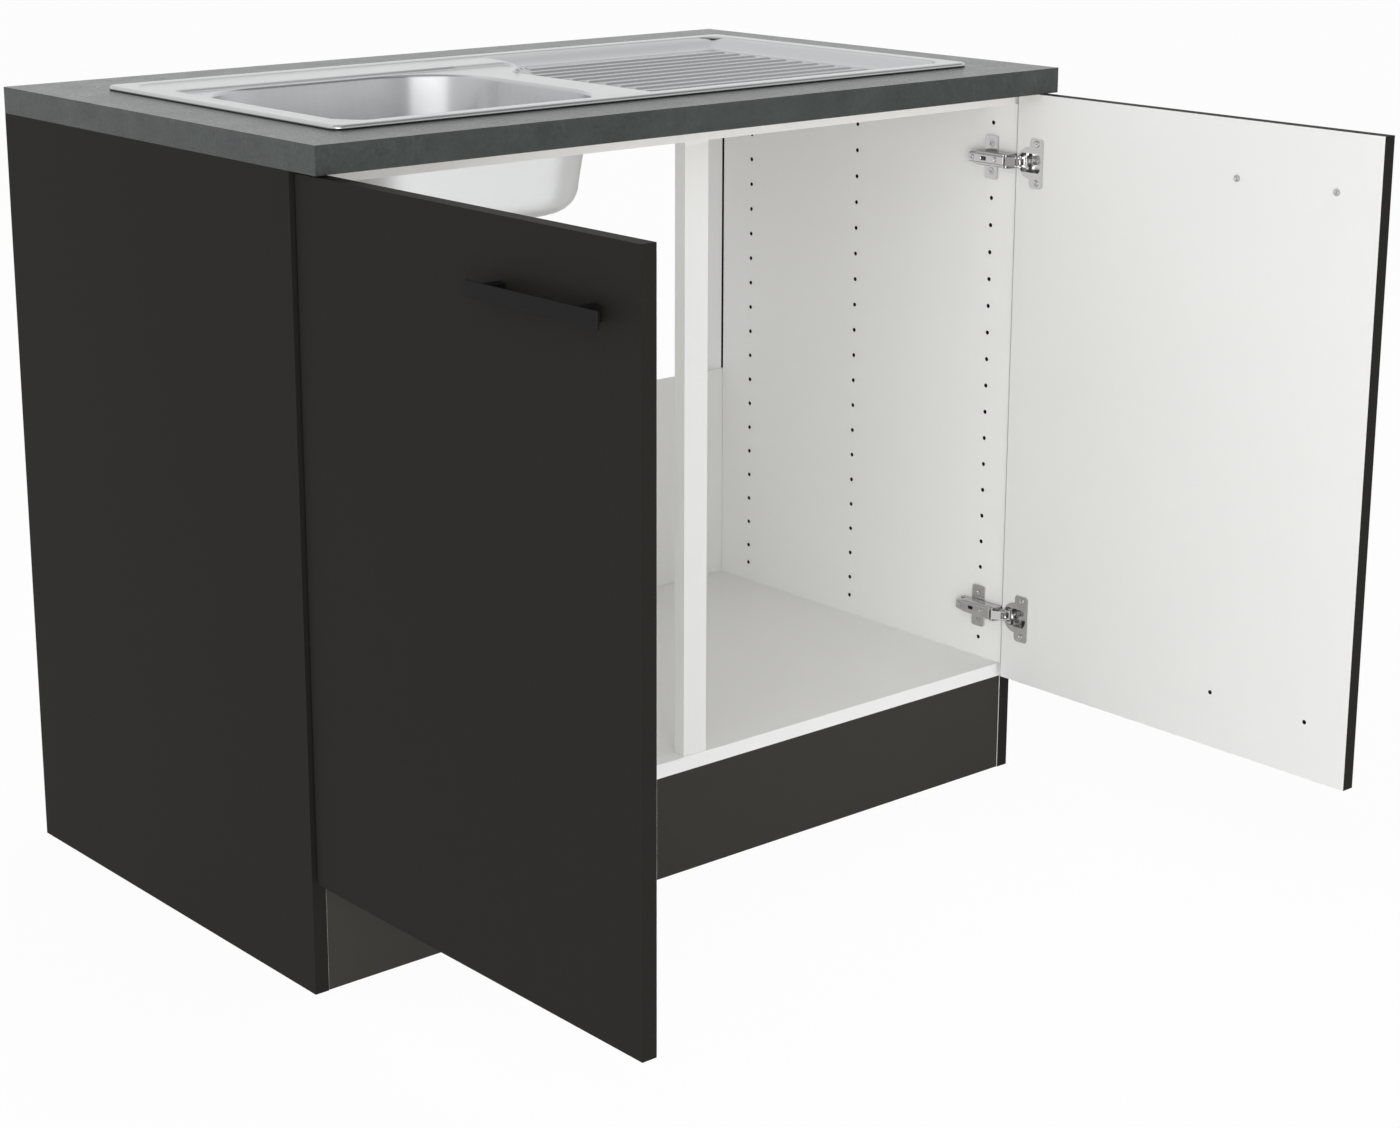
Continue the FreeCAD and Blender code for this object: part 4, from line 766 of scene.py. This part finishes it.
def deck_boundary(right, ring):
    """The deck's whole outline in order: front, right and back edges of the drainer half, then the
    bowl half's outline without the split."""
    rows = len(split_rows())
    front = right[0, :, :2]
    side = right[1:, -1, :2]
    back = right[-1, :-1, :2][::-1]
    return np.concatenate([front, side, back, ring[0, rows:, :2]])


drainer_half = deck_right()
bowl_half = deck_left_and_bowl()
sink = mesh_piece("sink_pressing", [
    (drainer_half, False), (bowl_half, True), (rim_band(deck_boundary(drainer_half, bowl_half)), True),
], materials["sink"], towards=(0, 0, 1))
sink.data.materials.append(materials["sink_underside"])
add_thickness(sink, STEEL_SHEET)
sink.modifiers["sheet"].material_offset = 1
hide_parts("sink")
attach(sink, "cabinet")


# ---------------------------------------------------------------- cross-head screws
def cross_recess(x, y, half_width, reach):
    """1 inside a cross of two bars of the given half width and reach, smooth at its sides."""
    def bar(a, b):
        side = smooth_step((half_width - np.abs(a)) / 0.00012 + 0.5)
        return side * smooth_step((reach - np.abs(b)) / 0.0003)
    return np.maximum(bar(x, y), bar(y, x))


def screw_surface(top_radius, seat_radius, head_height, shank_radius, shank_length):
    """A screw along +Z with its head's seat at 0, as a profile of (radius, height) turned about Z.
    The head's top is a low dome, less the cross recess. Below the seat the radius swings with
    depth / THREAD_PITCH + turn / 2 pi, which makes one helical thread, and shrinks to a point."""
    turn = np.linspace(0, 2 * np.pi, 36, endpoint=False)
    across = np.linspace(0.02, 0.93, 13) * top_radius
    edge = top_radius * np.array([0.975, 1.0])
    dome = 0.12 * head_height
    profile = [(r, head_height - dome * (r / top_radius) ** 2) for r in across]
    profile += [(edge[0], head_height - 1.2 * dome), (edge[1], head_height - 2.2 * dome)]
    profile += [(seat_radius, 0.0)]
    radius = np.array([p[0] for p in profile])[:, None] * np.ones_like(turn)
    height = np.array([p[1] for p in profile])[:, None] * np.ones_like(turn)
    x, y = radius * np.cos(turn), radius * np.sin(turn)
    depth = 0.55 * min(head_height + 0.0008, 0.0022) * (1 - 0.35 * radius / top_radius)
    recess = depth * cross_recess(x, y, 0.13 * top_radius, 0.62 * top_radius)
    height = height - np.where(height > 0.2 * head_height, recess, 0)
    steps = np.linspace(0.0003, shank_length, 22)
    wave = np.abs(np.mod(steps[:, None] / THREAD_PITCH + turn / (2 * np.pi), 1.0) - 0.5) * 2
    taper = 1 - smooth_step((steps - 0.8 * shank_length) / (0.2 * shank_length)) * 0.97
    shank = shank_radius * (0.80 + 0.20 * wave) * taper[:, None]
    radius = np.vstack([radius, shank])
    height = np.vstack([height, np.broadcast_to(-steps[:, None], shank.shape)])
    return np.stack([radius * np.cos(turn), radius * np.sin(turn), height], -1)


def screws_piece(node, body, finish, places, side, twist, sizes):
    """Screws whose heads face +X on the left side and -X on the right, in place of one node. The
    first recess is turned by the twist, and each next one by 0.7 more."""
    local = screw_surface(*sizes)
    grids = []
    for number, (x, y, z) in enumerate(places):
        angle = twist + 0.7 * number
        u = local[..., 0] * np.cos(angle) - local[..., 1] * np.sin(angle)
        v = local[..., 0] * np.sin(angle) + local[..., 1] * np.cos(angle)
        grids.append((np.stack([side * (x + local[..., 2]), y + u, z + v], -1), True))
    piece = mesh_piece(node + "_crosshead", grids, finish, join=2e-5)
    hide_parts(node)
    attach(piece, body)


# ---------------------------------------------------------------- pressed hinge arms
def arm_base(y):
    """Lower edge of the arm's cheeks: level, raised at the rear, and drooping to the link's pivot."""
    rear = 0.0037 * smooth_step((y - 0.034) / 0.010)
    front = 0.00124 * np.clip((0.001 - y) / 0.0105, 0, 1)
    return ARM_BASE + rear - front


def arm_section(y):
    """The arm's folded face and cheeks at each y: points (x, z) from one cheek's lower edge round to
    the other's. The half width narrows to 70 % behind 40 mm, and the last 3.2 mm of the face and of
    the width close in a quarter circle. A bead 9 mm wide stands 0.6 mm above the face's sides."""
    end = np.clip((y - ARM_END) / 0.0033, 0, 1)
    round_off = np.sqrt(np.maximum(1 - end ** 2, 0))
    half = ARM_HALF * (1 - 0.30 * smooth_step((y - 0.038) / 0.014)) * (0.55 + 0.45 * round_off)
    top = ARM_FACE - 0.0033 * (1 - round_off)
    low = arm_base(y)
    shares = np.array([-1, -0.88, -0.78, -0.70, -0.62, -0.54, -0.42, -0.294, -0.15, 0.0])
    shares = np.concatenate([shares, -shares[-2::-1]])
    z_face = shares[None, :] * (half - ARM_BEND)[:, None]
    x_face = top[:, None] - ARM_BEAD * smooth_step((np.abs(z_face) - 0.0043) / 0.0012)
    shoulder = x_face[:, :1]
    arc = np.linspace(0, np.pi / 2, 6)[None, :-1]
    z_arc = -(half - ARM_BEND)[:, None] - ARM_BEND * np.cos(arc)
    x_arc = shoulder - ARM_BEND * (1 - np.sin(arc))
    rise = np.linspace(0, 1, 6)[None, :-1]
    x_cheek = low[:, None] + (shoulder - ARM_BEND - low[:, None]) * rise
    z_cheek = np.broadcast_to(-half[:, None], x_cheek.shape)
    x = np.hstack([x_cheek, x_arc, x_face, x_arc[:, ::-1], x_cheek[:, ::-1]])
    z = np.hstack([z_cheek, z_arc, z_face, -z_arc[:, ::-1], -z_cheek[:, ::-1]])
    return x, z


def arm_ear(sign):
    """One cheek in front of the folded face: each y has a lower and an upper edge, which run round
    the outer link's pin and the inner link's pivot as circles, with straight sides between."""
    tip = LINK_PIVOT[1] - PIVOT_EYE
    y = ARM_NOSE + (tip - ARM_NOSE) * np.sin(np.linspace(0, np.pi / 2, 22))
    low = np.where(y > LINK_PIVOT[1], arm_base(y),
                   LINK_PIVOT[0] - np.sqrt(np.maximum(PIVOT_EYE ** 2 - (y - LINK_PIVOT[1]) ** 2, 0)))
    pin = ARM_PIN[0] + np.sqrt(np.maximum(PIN_EYE ** 2 - (y - ARM_PIN[1]) ** 2, 0))
    share = np.clip((y - ARM_PIN[1] + PIN_EYE) / (tip - ARM_PIN[1] + PIN_EYE), 0, 1)
    slope = ARM_PIN[0] + (LINK_PIVOT[0] - ARM_PIN[0]) * share
    high = np.where(y > ARM_PIN[1] - PIN_EYE, np.maximum(pin, ARM_FACE - ARM_BEAD), slope)
    first = (ARM_FACE - ARM_BEAD - ARM_BEND - ARM_BASE) / (ARM_FACE - ARM_BEAD - ARM_BASE)
    shares = np.concatenate([np.linspace(0, first, 6), [0.5 * (1 + first), 1.0]])
    x = low[:, None] + shares * (high - low)[:, None]
    return np.stack([x, np.broadcast_to(y[:, None], x.shape), np.full(x.shape, sign * ARM_HALF)], -1)


def arm_grids(side, height):
    """The folded sheet and its two ears, for one hinge."""
    y = np.unique(np.concatenate([np.linspace(ARM_NOSE, 0.050, 53), [0.025, 0.033],
                                  ARM_END + 0.0032 * np.sin(np.linspace(0, np.pi / 2, 9))]))
    x, z = arm_section(y)
    sheet = np.stack([x, np.broadcast_to(y[:, None], x.shape), z], -1)
    grids = [sheet, arm_ear(1), arm_ear(-1)]
    return [(grid * (side, 1, 1) + (0, 0, height), False) for grid in grids]


def stamped_slot(middles):
    """Marks the faces inside the slot in an arm's face."""
    x, y, z = middles.T
    beside = np.min([np.abs(z - h) for h in HINGE_HEIGHTS], 0)
    along = np.abs(y - SLOT_MIDDLE)
    return (np.abs(x) < -ARM_FACE + 0.001) & (along < SLOT_HALF_LENGTH) & (beside < SLOT_HALF_WIDTH)


for side_name, side in (("left", 1), ("right", -1)):
    grids = [g for h in HINGE_HEIGHTS for g in arm_grids(side, h)]
    arm = mesh_piece("hinge_arm_pressing_" + side_name, grids, materials["hinge_arms_left"], 2e-5,
                     (side, 0, 0), stamped_slot)
    add_thickness(arm, ARM_SHEET)
    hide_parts("hinge_arms_" + side_name)
    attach(arm, "cabinet")

for side_name, side in (("left", 1), ("right", -1)):
    plate = [(*PLATE_SCREW, h + w) for h in HINGE_HEIGHTS for w in (-PLATE_SCREW_HALF, PLATE_SCREW_HALF)]
    adjust = [(ARM_FACE, y, h) for h in HINGE_HEIGHTS for y in ADJUSTING_SCREW_Y]
    cup = [(*CUP_SCREW, h + w) for h in HINGE_HEIGHTS for w in (-CUP_SCREW_HALF, CUP_SCREW_HALF)]
    grip = [(-DOOR_FACE, y, HANDLE_SCREW_Z) for y in HANDLE_SCREW_Y]
    nickel, zinc = materials["hinge_arms_left"], materials["cams"]
    screws_piece("plate_screws_" + side_name, "cabinet", nickel, plate, side, 0.5, PLATE_SCREW_SIZES)
    screws_piece("adjusting_screws_" + side_name, "cabinet", nickel, adjust, side, 0.2,
                 ADJUSTING_SCREW_SIZES)
    screws_piece("cup_screws_" + side_name, "door_" + side_name, nickel, cup, side, 0.9, CUP_SCREW_SIZES)
    screws_piece("handle_screws_" + side_name, "door_" + side_name, zinc, grip, side, 0.3,
                 HANDLE_SCREW_SIZES)


# ---------------------------------------------------------------- floor, light and camera
def floor_material():
    """White floor. To the camera and in reflections it is mostly plain white, and the rest of its
    shade is the floor's own, so the object's shadow stays on it."""
    material, tree, shader, place = start_material("pale_floor", 0.9)
    shader.inputs["Base Color"].default_value = FLOOR_WHITE
    glow = tree.nodes.new("ShaderNodeEmission")
    mix = tree.nodes.new("ShaderNodeMixShader")
    tree.links.new(math_node(tree, "MULTIPLY", seen_rays(tree), FLOOR_SEEN_WHITE), mix.inputs[0])
    tree.links.new(shader.outputs[0], mix.inputs[1])
    tree.links.new(glow.outputs[0], mix.inputs[2])
    tree.links.new(mix.outputs[0], tree.nodes["Material Output"].inputs[0])
    return material


def make_floor():
    """A square of 30 m that lies just under the cabinet."""
    corners = np.array([(-15, -15, 0), (15, -15, 0), (15, 15, 0), (-15, 15, 0)], float)
    corners[:, 2] = -0.0002
    mesh = bpy.data.meshes.new("floor")
    mesh.from_pydata(corners.tolist(), [], [(0, 1, 2, 3)])
    mesh.materials.append(floor_material())
    floor = bpy.data.objects.new("floor", mesh)
    scene.collection.objects.link(floor)


def make_world():
    """Even white light from all round. What the camera and the reflections see is a white cove
    whose strength is 1 near the floor and falls smoothly as up - 0.45 * back goes from 0.48 to
    0.85, so that the ceiling in front of the cabinet is a plain grey."""
    world = bpy.data.worlds.new("studio")
    scene.world = world
    world.use_nodes = True
    tree = world.node_tree
    lit = tree.nodes["Background"]
    lit.inputs["Color"].default_value = (1, 1, 1, 1)
    lit.inputs["Strength"].default_value = ROOM_LIGHT
    white = tree.nodes.new("ShaderNodeBackground")
    white.inputs["Strength"].default_value = 1.0
    way = tree.nodes.new("ShaderNodeTexCoord").outputs["Generated"]
    tilted = math_node(tree, "MULTIPLY_ADD", axis_of(tree, way, 1), -0.45)
    tree.links.new(axis_of(tree, way, 2), tilted.node.inputs[2])
    ceiling = ramp_node(tree, tilted, 0.48, 0.85, 0.0, 1.0)
    ceiling.node.interpolation_type = "SMOOTHSTEP"
    tree.links.new(mix_colours(tree, ceiling, (1, 1, 1, 1), CEILING), white.inputs["Color"])
    mix = tree.nodes.new("ShaderNodeMixShader")
    tree.links.new(seen_rays(tree), mix.inputs[0])
    tree.links.new(lit.outputs[0], mix.inputs[1])
    tree.links.new(white.outputs[0], mix.inputs[2])
    tree.links.new(mix.outputs[0], tree.nodes["World Output"].inputs[0])


def soft_box(name, place, aim, width, height, power):
    """A rectangular lamp at a place, turned to face a point."""
    data = bpy.data.lights.new(name, "AREA")
    data.shape = "RECTANGLE"
    data.size, data.size_y = width, height
    data.energy = power
    lamp = bpy.data.objects.new(name, data)
    scene.collection.objects.link(lamp)
    lamp.location = place
    lamp.rotation_euler = (Vector(aim) - Vector(place)).to_track_quat("-Z", "Y").to_euler()


def make_camera():
    """The photograph's viewpoint, solved from the cabinet's edges in it. The photograph was taken
    with a level camera and a large shift. This one is tilted instead, with a lens that takes in the
    whole unit, so that other views stay in the picture too."""
    data = bpy.data.cameras.new("camera")
    data.lens = CAMERA_LENS
    data.sensor_width = 36.0
    data.shift_x, data.shift_y = CAMERA_SHIFT
    camera = bpy.data.objects.new("camera", data)
    scene.collection.objects.link(camera)
    camera.location = CAMERA_PLACE
    camera.rotation_euler = Euler((math.radians(90 - CAMERA_TILT), 0, math.radians(-CAMERA_TURN)), "XYZ")
    scene.camera = camera


make_floor()
make_world()
soft_box("top_light", (-0.4, 0.3, 3.4), (0.0, 0.2, 0.5), 5.0, 4.2, 20)
soft_box("camera_light", (-2.9, -3.1, 2.3), (0.1, 0.1, 0.45), 4.6, 3.8, 50)
soft_box("low_light", (-1.75, -2.05, 0.55), (0.1, 0.2, 0.45), 1.8, 1.0, 29)
make_camera()
